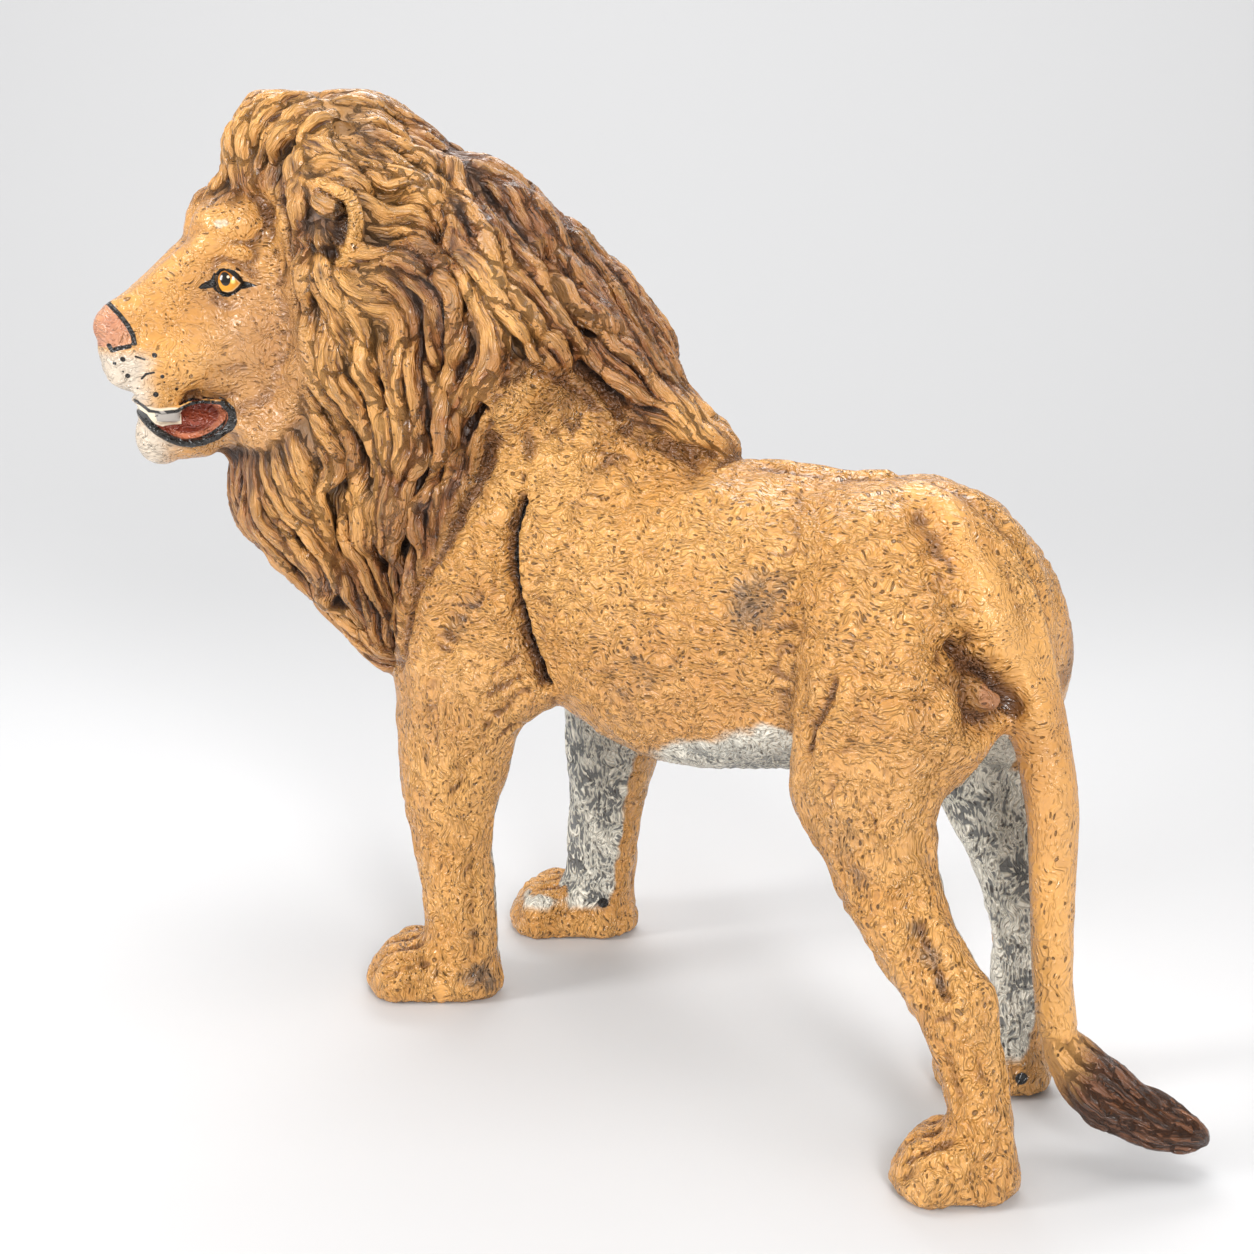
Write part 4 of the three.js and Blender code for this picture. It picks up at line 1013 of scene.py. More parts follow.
class Ridges:
    """The height, and the place along and across its strand, of each vertex of the skin."""

    def __init__(self, skin):
        self.height = np.zeros(skin.count)
        self.score = np.full(skin.count, -1.0)
        self.across = np.zeros(skin.count)
        self.along = np.zeros(skin.count)
        self.strand = np.zeros(skin.count)

    def lay(self, skin, roots, flow, lengths, widths, heights, draw, step):
        place, normal, way = walk(skin, skin.co[roots], flow, lengths, step)
        steps = np.arange(len(place))[:, None] * step
        share = steps / lengths[None, :]
        live = share <= 1
        swell = np.sqrt(np.clip(share * 9 + 0.1, 0, 1)) * np.sqrt(np.clip((1 - share) * 1.6, 0, 1))
        wide = widths * (0.35 + 0.65 * swell)
        tall = heights * np.clip(0.2 + share * 2, 0, 1) * (0.4 + 0.6 * swell)
        layer = draw.uniform(0, 0.35, len(roots)) + share * 0.25
        strand = np.broadcast_to(draw.uniform(0, 1, len(roots)), share.shape)
        along = steps + strand * 40
        pick = live.ravel()
        flat = [v.reshape(-1, *v.shape[2:])[pick] for v in (place, normal, way)]
        numbers = (wide, tall, layer, strand, along)
        wide, tall, layer, strand, along = (v.ravel()[pick] for v in numbers)
        vertex, sample, away = skin.near(flat[0], wide)
        dome = 1 - (away / wide[sample]) ** 2
        height = tall[sample] * dome**1.05
        score = height + layer[sample]
        order = np.argsort(score)
        order = order[score[order] > self.score[vertex[order]]]
        target, source = vertex[order], sample[order]
        side = np.cross(flat[2], flat[1])[source]
        offset = skin.co[target] - flat[0][source]
        self.score[target] = score[order]
        self.height[target] = height[order] + 0.5 * layer[source]
        self.across[target] = (offset * side).sum(1)
        self.along[target] = along[source] + (offset * flat[2][source]).sum(1)
        self.strand[target] = strand[source]


draw = np.random.default_rng(11)
hair = np.maximum(mane, tuft)


def comb(gap, long, wide, tall, tuft_gap, tuft_wide, step, sink):
    """Lays one layer of ridges in the mane and the tuft and presses it into the skin."""
    ridges = Ridges(skin)
    roots = scattered(skin, mane > 0.3, gap, draw)
    crown = head_coordinates(skin.co[roots])
    short = np.clip((crown[:, 2] - 10) / 14, 0, 1) * (crown[:, 0] < 52)
    lengths = draw.uniform(*long, len(roots)) * (1 - 0.45 * short)
    widths = draw.uniform(*wide, len(roots))
    heights = draw.uniform(*tall, len(roots))
    ridges.lay(skin, roots, hair_flow, lengths, widths, heights, draw, step)
    tips = scattered(skin, tuft > 0.5, tuft_gap, draw)
    widths = draw.uniform(*tuft_wide, len(tips))
    lengths = draw.uniform(7, 13, len(tips))
    ridges.lay(skin, tips, tail_flow, lengths, widths, widths * 0.75, draw, step)
    relief = skin.spread(ridges.height, 1)
    from_end = np.linalg.norm(skin.co - TAIL_END, axis=1)
    tuft_sink = sink * (0.3 + 0.5 * smooth_step(from_end, 21, 13))
    skin.push(mane * (relief - sink) + np.maximum(tuft - mane, 0) * (relief - tuft_sink))
    skin.turn_normals()
    print("ridges:", len(roots), "in the mane,", len(tips), "in the tuft")
    return ridges, relief


locks, lock_relief = comb(
    gap=3.4, long=(12, 30), wide=(1.3, 2.9), tall=(1.4, 2.8),
    tuft_gap=3.0, tuft_wide=(1.0, 1.4), step=0.8, sink=1.3,
)
_, strand_relief = comb(
    gap=1.5, long=(7, 16), wide=(0.65, 1.1), tall=(0.65, 1.15),
    tuft_gap=1.4, tuft_wide=(0.6, 0.9), step=0.5, sink=0.5,
)
between_strands = smooth_step(strand_relief, 0.55, 0.1)
groove = hair * np.maximum(between_strands, smooth_step(lock_relief, 0.9, 0.2))
print("grooves on", int((groove > 0.5).sum()), "vertices")

# %% [markdown]
# ## Fur on the body
#
# The short coat was struck with a punch, so its surface is uneven in two sizes: soft dents a few
# millimetres long, and a fine pattern that the material adds. The dents are real geometry. A
# lattice of random numbers, read with smooth interpolation, gives them.

# %% Dents
DENT_SIZE = 1.6  # mm
DENT_DEPTH = 0.46
DENT_MIDDLE = 0.3  # taken off the noise, so that dents and bumps about even out
WAVE_SIZE = 5.5  # mm
WAVE_DEPTH = 0.2


def tail_skin(points):
    """1 on the tail, which was left smooth."""
    x, y, z = points.T
    return smooth_step(x, 61, 66) * smooth_step(y, -4, 0) * smooth_step(z, 90, 78)


smooth_skin = np.maximum(tail_skin(skin.co), skin.path_mask(TAIL_ROOT, 6.5))
fur_noise = LatticeNoise(5)
warp = np.stack([LatticeNoise(n)(skin.co / 6) for n in (21, 22, 23)], axis=1)
down_the_leg = smooth_step(skin.co[:, 2], 66, 52)[:, None] > 0.5
stretch = np.where(down_the_leg, (1, 1, 0.45), (0.45, 1, 1))
struck = np.abs(fur_noise((skin.co + warp * DENT_SIZE) * stretch / DENT_SIZE))
dents = (struck - DENT_MIDDLE) * DENT_DEPTH
dents += fur_noise(skin.co / WAVE_SIZE) * WAVE_DEPTH
dents *= (1 - hair) * (0.25 + 0.75 * smooth_step(head_coordinates(skin.co)[:, 0], 18, 34))
dents *= 1 - smooth_skin * 0.8
skin.push(dents)
skin.turn_normals()
print("dents up to", round(float(np.abs(dents).max()), 2), "mm")

# %% [markdown]
# ## A lighter net
#
# The even net has far more faces than a belly needs. The Decimate modifier takes them where the
# skin is flat and leaves them in the hair and the face.

# %% Thin the skin out and keep it inside the solid's box
SKIN_TRIANGLES = 196000
FINE_HOLLOW = 16  # rounds of smoothing that a hollow is measured against
COARSE_HOLLOW = 90


def inside_box(points, inset=0.02, soft=1.6):
    """Holds the points in the solid's box; the highest locks are eased under its top, not cut."""
    low = np.array(cad_low) / MM + inset
    high = np.array(cad_high) / MM - inset
    low[2] = 0
    points = points.copy()
    over = np.maximum(points[:, 2] - (high[2] - soft), 0)
    points[:, 2] += soft * (1 - np.exp(-over / soft)) - over
    return np.clip(points, low, high)


def hollowness(rounds):
    """How far each vertex lies below the smoothed skin, in mm; negative on a crest."""
    return ((skin.spread(skin.co, rounds) - skin.co) * skin.normal).sum(1)


def triangle_count(mesh):
    return sum(len(p.vertices) - 2 for p in mesh.polygons)


fine_hollow = hollowness(FINE_HOLLOW)
coarse_hollow = hollowness(COARSE_HOLLOW)
skin.co = inside_box(skin.co)
skin.turn_normals()
triangles = triangle_count(skin_mesh)
heavy = bmesh.new()
heavy.from_mesh(skin_mesh)
light_mesh = settle(heavy, "lion_skin", [("DECIMATE", {"ratio": SKIN_TRIANGLES / triangles})])
light_mesh.shade_smooth()
light = Skin(light_mesh)
light.co = inside_box(light.co)
light.turn_normals()
nearest = np.array([skin.tree.find(p)[1] for p in light.co])
print("triangles", triangles, "->", triangle_count(light_mesh))

# %% [markdown]
# ## Fields for the painter
#
# The paint follows the form, so the material needs to know where it is: in the mane, in a
# hollow, on the lip, on the nose. Each field holds one number per vertex, and the place on the
# face three. Distances are kept in millimetres, because a sharp line can then be drawn in the
# shader however large the faces are.

# %% Where brown is laid: washes in the mane, and painted shade in the folds and hollows of face and body; place, reach in mm and strength
# on the head: painted shade along the folds of the face, round its edge, under the forelock, under the
# chin and in the ears
BROWN_HEAD = [
    (27.3, 10.6, 26.9, 3.2, 0.9), (28.8, 13.5, 24.4, 3.4, 1), (29.6, 18.5, 20.6, 3.4, 1),
    (22, 8, 21, 4.5, 0.6), (25.5, 12, 19, 4.5, 0.6), (30, 21.5, 13, 3.6, 0.9),
    (30.4, 23, 4, 3.2, 0.6), (31, 21, -13, 5, 0.4), (21.5, 6, -27, 7, 0.6), (37, 24, -21, 4, 0.9),
    (42, 19, 31, 4, 0.9), (16.5, 10.5, -10, 3, 0.5), (21, 12.5, -8.5, 4, 0.4),
    (36.8, 27, 17, 2.4, 1), (34.6, 26, 12.8, 1.8, 1), (22.5, 12, 1, 2.6, 0.4),
    (24, 13.5, -13.5, 3.5, 0.5), (24.5, 13, -3, 5.5, 0.45),
]
# on the body: washes in the mane, and painted shade behind the mane's edge, in the folds of shoulder,
# buttock and tail root and in the hollow under the tail
BROWN_BODY = [
    (-38, 9, 140, 8, 0.5), (-30, 9, 134, 10, 0.65), (-19, 10, 126, 11, 0.8), (-8, 12, 115, 11, 0.8),
    (-31, -13, 127, 6, 0.95), (-27, -13, 119, 5, 0.7), (-9, 0, 108, 8, 0.9), (-3, 3, 104, 5, 0.9),
    (-16.5, -10.5, 111, 4, 0.8), (-28, -14, 100, 5, 0.7), (-37, -14, 84, 6, 1),
    (-41, -12, 76, 5.5, 1), (-48, -10, 64, 6, 0.6), (-27, -11.5, 97, 7, 0.7),
    (-30, -14.5, 88, 6.5, 0.7), (-11, -4, 106, 6.5, 0.8), (-16, -9, 103, 5.5, 0.45),
    (62.5, -4.5, 77, 3.5, 0.6), (62.5, -1.5, 75, 4, 1.2), (63.6, 2, 70, 3.8, 1.2),
    (61.5, -3, 84, 3, 0.6), (64.6, 0, 71.8, 3, 1.3), (53, -0.8, 94, 3.2, 0.55),
    (58.5, -3.5, 87.5, 3.4, 0.7), (61.5, -5.5, 80, 3.4, 0.75), (61, -7, 74, 3, 0.6),
    (47.5, 2, 98, 3, 0.35), (-23.5, -11, 89.3, 6, 0.4), (-5.7, -1.6, 101.5, 5, 0.6),
    (57.5, -1, 90.5, 3, 0.45), (-17.5, -11.5, 59, 4.5, 0.55), (-14.5, -9, 66, 3.5, 0.8),
    (59.5, -4, 88, 4, 0.35), (64, 8, 89, 3.5, 0.35),
]
GOLDEN_HEAD = [
    (36, 29, 8, 7, 0.9), (38, 31, 2, 6, 0.8), (36, 21, 28, 7, 0.8), (27, 9, 32, 7, 1),
    (44, 28, 20, 7, 0.7), (33, 25, -4, 7, 0.7), (37.3, 20, 32, 8, 1), (43, 15, 36, 7, 0.7),
    (24, 2, 31, 7, 1), (33, 6, 37, 8, 1), (37, 13, 34, 8, 0.9), (34, 22, -14, 7, 0.5),
    (30, 18, -24, 7, 0.4),
]
GOLDEN_BODY = [
    (-22, -9.5, 123, 5, 0.8), (-19, -8, 117, 4.5, 0.7), (3.5, 9, 102.5, 4, 1),
    (-45, -15, 86, 5.5, 0.7), (-38, -16, 100, 5, 0.5), (-44, -8, 140, 9, 0.5),
    (-57, -20, 86, 6, 0.5),
]
# dark grey smudges; those in the folds at the elbow and the hock are painted shade
SMUDGES_AND_SHADE = [
    (28.8, -6.4, 80.5, 6.2, 0.8), (50, -12.5, 51, 5, 0.5), (52, -12, 45, 4.5, 0.5),
    (60.7, -9.6, 39, 2, 0.9), (62.9, -9.4, 35.5, 2.3, 1), (65.1, -9.5, 31.9, 2, 0.85),
    (-26.8, -9.8, 5.5, 3.3, 1), (-25.5, -8, 3.6, 2.6, 0.9), (-26, -14.5, 69.5, 3.8, 0.6),
    (-24, -13.5, 72.5, 3.4, 0.5), (8, -9.5, 66, 11, 0.4), (-27.4, -10.2, 13, 2.8, 0.5),
    (24, -3, 57, 5, 0.6), (35, 30, 60, 6, 0.4),
]
PALE_FLANK = [(26, -2, 54, 7, 1.3), (18, -3, 53, 6, 1.2), (30, -3, 59, 4, 1)]
print("spots of brown", len(BROWN_HEAD + BROWN_BODY), "golden", len(GOLDEN_HEAD + GOLDEN_BODY))

# %% Tools for fields


def keep_field(mesh, name, values):
    kind, key = ("FLOAT_VECTOR", "vector") if values.ndim == 2 else ("FLOAT", "value")
    field = mesh.attributes.new(name, kind, "POINT")
    field.data.foreach_set(key, values.astype(np.float32).ravel())


def soft_spots(points, spots):
    """The strength at the middle of each (x, y, z, radius, strength) spot, fading with distance."""
    total = np.zeros(len(points))
    for x, y, z, radius, strength in spots:
        away = np.linalg.norm(points - (x, y, z), axis=1) / radius
        total = np.maximum(total, strength * np.exp(-(away**2)))
    return total


def on_both_sides(head_spots, body_spots):
    spots = [(*on_head(b, r * side, u), *rest) for b, r, u, *rest in head_spots for side in (-1, 1)]
    spots += body_spots
    return spots + [(*mirrored([(x, y, z)])[0], *rest) for x, y, z, *rest in body_spots]


print("field tools ready")

# %% The mouth and the undersides
NO_MOUTH = -5.0  # mm, what the mouth's field says away from it
NO_LIP = 6.0

face_place = head_coordinates(light.co)
face_view = face_place[:, (0, 2)]
mouth_outline = [(b, u) for b, _, u in UPPER_LIP + LOWER_LIP[::-1]]
in_front = (face_place[:, 0] > 3) & (face_place[:, 0] < 23) & (np.abs(face_place[:, 1]) < 14)
mouth = np.where(in_front, inside_outline(face_view, mouth_outline), NO_MOUTH)


def from_lip(corners):
    line = resample([(b, u, 0) for b, _, u in corners], 0.2)[:, :2]
    return np.where(mouth > -4, distance_to(face_view, line), NO_LIP)


calm = light.spread(light.normal, 6)
inward = -calm[:, 1] * np.sign(light.co[:, 1] - LION_MIDDLE)
x, _, z = light.co.T
inner_leg = smooth_step(inward, 0.25, 0.75) * smooth_step(z, 68, 60) * smooth_step(z, 3, 10)
belly = smooth_step(calm[:, 2], -0.45, -0.85) * smooth_step(z, 72, 66) * smooth_step(x, -2, 20)
low_flank = soft_spots(light.co, PALE_FLANK) * smooth_step(x, 37, 34)
pale = np.clip(inner_leg + belly * smooth_step(z, 44, 50) + low_flank, 0, 1)
print("pale", int((pale > 0.5).sum()), "vertices, mouth", int((mouth > 0).sum()))

# %% Write the fields
NO_SEAM = 9.0

from_end = np.linalg.norm(light.co - TAIL_END, axis=1)
from_seam = distance_to(light.co[:, (0, 2)], resample(SHOULDER_SEAM, 0.4)[:, (0, 2)])
outside = np.abs(light.co[:, 1] - LION_MIDDLE) > 12
fields = {
    "mouth": mouth,
    "lip": from_lip(LOWER_LIP),
    "upper_lip": from_lip(UPPER_LIP),
    "face": face_place,
    "mane": mane_mask(light.co),
    "tuft": smooth_step(from_end, 33, 17) * smooth_step(x, 66, 70),
    "brown": soft_spots(light.co, on_both_sides(BROWN_HEAD, BROWN_BODY)),
    "golden": soft_spots(light.co, on_both_sides(GOLDEN_HEAD, GOLDEN_BODY)),
    "smudge_and_shade": soft_spots(light.co, SMUDGES_AND_SHADE),
    "pale": pale * smooth_step(x, 78, 74),
    "groove": groove[nearest],
    "crest": smooth_step(lock_relief, 0.5, 1.9)[nearest],
    "smooth": smooth_skin[nearest],
    "mane_edge": fore_part(light.co),
    "hollow": fine_hollow[nearest],
    "deep": coarse_hollow[nearest],
    "strand_across": locks.across[nearest],
    "strand_along": locks.along[nearest],
    "strand_number": locks.strand[nearest],
    "seam": np.where(outside, from_seam, NO_SEAM),
}
for name, values in fields.items():
    keep_field(light_mesh, name, values)
print("fields", list(fields))

# %% Back to metres
light.co *= MM
light_mesh.vertices.foreach_set("co", light.co.astype(np.float32).ravel())
light_mesh.update()
bpy.data.meshes.remove(skin_mesh)
lion_skin = bpy.data.objects.new("lion_skin", light_mesh)
bpy.context.scene.collection.objects.link(lion_skin)
print("lion skin in place")

# %% [markdown]
# ## Eyes
#
# The eyes are smooth balls that bulge a little from their sockets. The painter gave each one an
# amber iris with a tall pupil, black round the iris, and drew a black almond with a tail at
# either corner on the lids. Ball and lids are both painted by the place on the face, so the
# black of one meets the black of the other without a step.

# %% Two eyeballs
eyeballs = bmesh.new()
for side in (-1, 1):
    spot = Matrix.Translation(on_head(EYE[0], EYE[1] * side, EYE[2]) * MM)
    bmesh.ops.create_uvsphere(
        eyeballs, u_segments=48, v_segments=32, radius=EYE_ROUND * MM, matrix=spot
    )
eye_mesh = bpy.data.meshes.new("lion_eyes")
eyeballs.to_mesh(eye_mesh)
eyeballs.free()
eye_mesh.shade_smooth()
eye_co = np.empty((len(eye_mesh.vertices), 3))
eye_mesh.vertices.foreach_get("co", eye_co.ravel())
keep_field(eye_mesh, "face", head_coordinates(eye_co / MM))
lion_eyes = bpy.data.objects.new("lion_eyes", eye_mesh)
bpy.context.scene.collection.objects.link(lion_eyes)
print("eyeballs", len(eye_mesh.polygons), "faces")

# %% [markdown]
# ## Painted bronze
#
# One material carries the whole coat. It starts from ochre, lets large soft noise warm and grey
# it, darkens the hollows with a brown wash and painted shade, lightens the crests with a painted
# highlight, and then puts the marks on top: pores, dark smudges, the black lip, the red mouth, the
# pale nose. The bump adds what is too fine for the net.

# %% The colours of the paint box
OCHRE = (0.65, 0.298, 0.070)
LIGHT_OCHRE = (0.86, 0.455, 0.140)
TAN_SHADE = (0.40, 0.20, 0.085)
WASH_AND_SHADE_BROWN = (0.150, 0.058, 0.020)
DARK_BROWN = (0.040, 0.016, 0.007)
GOLDEN_LOCK = (0.68, 0.315, 0.088)
BROWN_LOCK = (0.33, 0.120, 0.035)
CHOCOLATE = (0.175, 0.064, 0.024)
COPPER = (0.36, 0.15, 0.066)
GREY_WHITE = (0.91, 0.86, 0.73)
CREAM = (0.83, 0.70, 0.52)
WHITE_LIP = (0.66, 0.57, 0.46)
SLATE = (0.045, 0.052, 0.060)
NOSE_PINK = (0.70, 0.33, 0.17)
BLACK = (0.012, 0.010, 0.008)
NOSE_SHADE = (0.52, 0.22, 0.12)
MOUTH_RED = (0.20, 0.030, 0.014)
TONGUE_RED = (0.33, 0.070, 0.035)
GUM_PINK = (0.60, 0.20, 0.10)
TOOTH_GREY = (0.42, 0.38, 0.34)
AMBER = (0.74, 0.32, 0.010)
DARK_AMBER = (0.42, 0.14, 0.008)
EYE_GLOW = (0.95, 0.85, 0.25)
print("paint box ready")

# %% Outlines of the marks on the face, as far back and as far up in head millimetres
EYE_ALMOND = [
    (17.9, 6.7), (18.6, 8.2), (19.4, 9.1), (20.1, 9.2), (20.7, 8.9), (22.5, 7.4), (23.1, 6.7),
    (22.7, 5.9), (21.8, 5.2), (20.5, 4.5), (19.6, 4.6), (18.7, 5.4),
]
INNER_TAIL = [(16.1, 5.9), (16.7, 6.5), (18.3, 7.3), (18.7, 5.9), (16.5, 5.6)]
OUTER_TAIL = [(22.3, 7.5), (23.6, 7), (25.9, 6.7), (24.6, 6.3), (22.7, 5.8)]
IRIS = [
    (19, 7), (19.1, 7.8), (19.6, 8.6), (20.2, 8.8), (20.9, 8.4), (21.8, 7.5), (22.5, 6.8), (22, 6.2),
    (21.2, 5.5), (20.4, 5.3), (19.6, 5.5), (19.2, 6.2),
]
NOSE = [
    (-1.5, -0.5), (-0.5, 3.5), (1.9, 2.9), (3.2, 1.4), (4.3, -0.2), (5, -1.8), (5.1, -2.9),
    (4.5, -3.6), (1.2, -3.9), (-1.5, -3.9),
]
NOSTRIL = [(1.5, -3.5), (1.9, -4.3), (2.9, -3.9), (4.6, -3.5)]
EAR_RECESS = [[(36.1, 19.6), (36.3, 17.2), (35.9, 14.6)], [(33.8, 13), (35.2, 12.4)]]
# the two dabs on the brow are painted highlights
WHITE_DABS = [(19.6, 16.2, 0.7), (20.6, 16.4, 0.5), (8.6, -17.3, 0.5)]
WHISKER_DOTS = [
    (3.4, -5.6, 0.42), (2.1, -6.3, 0.3), (3.3, -7.6, 0.16), (4, -8.3, 0.4), (8.3, -4.8, 0.42),
    (9.3, -8.3, 0.34), (8.2, -11.4, 0.46), (9.6, -9.3, 0.15), (5.4, -10.4, 0.14),
    (11.6, -10.6, 0.28),
]
WHISKER_STREAKS = [[(5.4, -5.1), (6.7, -5.5)], [(6.1, -8.7), (6.8, -7.9), (8, -7.6)]]
TOOTH = [(7.9, -14.4), (12.1, -14.3), (12.1, -16.2), (10.8, -16.7), (8.4, -16.3)]
GUM = [(5, -13.6), (12.3, -13.8), (12.3, -16.8), (9.4, -17.4), (6.8, -16.3), (5.4, -15.2)]
PAW_DOTS = [(-28.5, 24.1, 7.6), (61.5, 21.2, 4.2)]
print("corners round an eye", len(EYE_ALMOND), "and round the nose", len(NOSE))

# %% The patterns that the paint is mixed by
FUR_SIZE = 0.58  # mm
FUR_SQUEEZE = 0.42  # strokes are this much shorter across than along
PORE_CELL = 0.72  # mm

bench = Bench("painted_bronze")
place = bench.vector("SCALE", bench.node("ShaderNodeTexCoord", out="Object"), 1 / MM)
height = bench.split(place)[2]
face_back, face_side, face_up = bench.split(bench.attribute("face", "Vector"))
aside = face_side.math("ABSOLUTE")
flat_face = bench.flat(face_back, face_up)
mane, tuft, mane_edge = map(bench.attribute, ("mane", "tuft", "mane_edge"))
groove, crest, hollow, deep = map(bench.attribute, ("groove", "crest", "hollow", "deep"))
smooth = bench.attribute("smooth")
brown, golden, smudge_and_shade = map(bench.attribute, ("brown", "golden", "smudge_and_shade"))
mouth, lip, upper_lip = map(bench.attribute, ("mouth", "lip", "upper_lip"))
hair = mane.math("MAXIMUM", tuft)
off_mane = 1 - mane
upright = height.rise(70, 50)

# short strokes of fur: a noise squeezed along the hair and bent by a slower one, read twice:
# its middle values give thin cut lines, and its high values the raised backs of the strokes
bend = bench.vector("SUBTRACT", bench.noise(place, 4.5, detail=1.0, out="Color"), (0.5, 0.5, 0.5))
bent = bench.vector("ADD", place, bench.vector("SCALE", bend, 4.0))
lying = bench.vector("MULTIPLY", bent, (FUR_SQUEEZE, 1, 1))
standing = bench.vector("MULTIPLY", bent, (1, 1, FUR_SQUEEZE))


def by_heading(pattern):
    """One pattern along the body and another down the legs, blended where they meet."""
    return pattern(lying) * (1 - upright) + pattern(standing) * upright


fur = by_heading(lambda squeezed: bench.noise(squeezed, FUR_SIZE, detail=1.0, roughness=0.45))
cut = (fur - 0.5).math("ABSOLUTE").rise(0.07, 0.0)
back = fur.rise(0.48, 0.68)
grain = bench.noise(bent, 0.35)
patches = bench.noise(place, 16.0, detail=3.0)
mottle = bench.noise(place, 3.2, detail=3.0)
speckle = mottle - 0.5
crowd = bench.noise(place, 9.0, detail=1.0)

# lines along each lock of the mane
across = bench.attribute("strand_across") * 2.4
along = bench.attribute("strand_along") * 0.16
number = bench.attribute("strand_number") * 37
strand_place = bench.node("ShaderNodeCombineXYZ", values={0: across, 1: along, 2: number})
hair_lines = bench.noise(strand_place, 1.0, roughness=0.55)

# pores: small pits, drawn out along the hair, in those cells of a Voronoi pattern whose number
# is high enough; they crowd together in some places and thin out in others
crowding = crowd * 2.2 + smudge_and_shade * 0.7 + brown * 0.7
crowding -= smooth * 0.35 + face_back.rise(32, 24) * 0.4 + hair * 0.55


def pits(squeezed):
    values = {"Vector": squeezed, "Scale": 1 / PORE_CELL, "Randomness": 1.0}
    cells = bench.node("ShaderNodeTexVoronoi", values=values)
    shade = Signal(bench, cells.socket.node.outputs["Color"])
    pick = bench.node("ShaderNodeSeparateColor", values={0: shade})
    return (cells * PORE_CELL).rise(0.22, 0.12) * (pick + crowding).rise(1.34, 1.44)


pore = by_heading(pits)
print("patterns ready")

# %% Lay the colours on the coat
fine = (1 - face_back.rise(34, 24) * 0.55) * (1 - smooth * 0.6)
wash_and_shade = (brown + speckle * 0.9 + (grain - 0.5) * 0.4) * brown.rise(0.05, 0.30)
beside_mane = (mane_edge + speckle * 5).rise(-6.0, -0.5) * mane_edge.rise(2.5, 0.5)
tone = bench.coats(
    OCHRE,
    (patches.rise(0.35, 0.68) * 0.6, LIGHT_OCHRE),
    (mottle.rise(0.52, 0.80) * 0.30, TAN_SHADE),
    # painted shade low on the flank
    (height.rise(84, 58) * height.rise(40, 54) * 0.24, TAN_SHADE),
    # darker between the strokes, brown wash and painted shade; lighter on their raised backs, a
    # painted highlight
    (fur.rise(0.48, 0.33) * fine * 0.24, WASH_AND_SHADE_BROWN),
    (back * fine * 0.28, LIGHT_OCHRE),
    # brown wash and painted shade in the hollows, darkest in the deepest; a painted highlight on the
    # crests
    (hollow.rise(0.02, 0.20) * 0.7, WASH_AND_SHADE_BROWN),
    (hollow.rise(-0.02, -0.20) * 0.35, LIGHT_OCHRE),
    (deep.rise(0.20, 1.10) * 0.75, WASH_AND_SHADE_BROWN),
    (deep.rise(0.80, 1.80) * 0.80, DARK_BROWN),
    # the brown spots: washes, and painted shade in the folds and hollows
    (wash_and_shade.rise(0.25, 0.95) * (0.60 + face_back.rise(45, 35) * 0.22), WASH_AND_SHADE_BROWN),
    # painted shade, with some wash, on the coat just below the mane's edge
    (beside_mane * 0.30, WASH_AND_SHADE_BROWN),
)
print("ochre laid")

# %% The mane and the tuft
darker = (brown - golden + patches * 1.1 + 0.02).rise(0.10, 0.85)
# darker in the grooves, off the crests and in the hollows: brown wash and painted shade; lighter on
# the raised strand lines and the crests: painted highlight
mane_tone = bench.coats(
    bench.mix(brown.rise(0.1, 0.8), WASH_AND_SHADE_BROWN, DARK_BROWN),
    (hair_lines.rise(0.30, 0.52), bench.mix(darker, GOLDEN_LOCK, BROWN_LOCK)),
    (hair_lines.rise(0.60, 0.76) * (0.45 - brown * 0.3), LIGHT_OCHRE),
    ((1 - crest) * (0.55 - golden * 0.50), WASH_AND_SHADE_BROWN),
    (hollow.rise(-0.05, -0.35) * (1 - brown * 0.7) * 0.45, LIGHT_OCHRE),
    (hollow.rise(0.02, 0.32) * (0.75 - golden * 0.40), DARK_BROWN),
    (deep.rise(0.15, 1.00) * (0.72 - golden * 0.55), DARK_BROWN),
    (groove * (0.62 - golden * 0.45), DARK_BROWN),
    (wash_and_shade.rise(0.6, 1.2) * 0.55, DARK_BROWN),
    (golden * hair_lines.rise(0.30, 0.60) * 0.55, LIGHT_OCHRE),
)
tuft_tone = bench.coats(
    DARK_BROWN,
    (hair_lines.rise(0.35, 0.60), CHOCOLATE),
    (hair_lines.rise(0.60, 0.75) * 0.6, COPPER),
)
in_tuft = (tuft * 1.3 + (hair_lines - 0.5) * 0.6).rise(0.2, 0.95)
tone = bench.coats(tone, (mane, mane_tone), (in_tuft, tuft_tone))
print("mane laid")

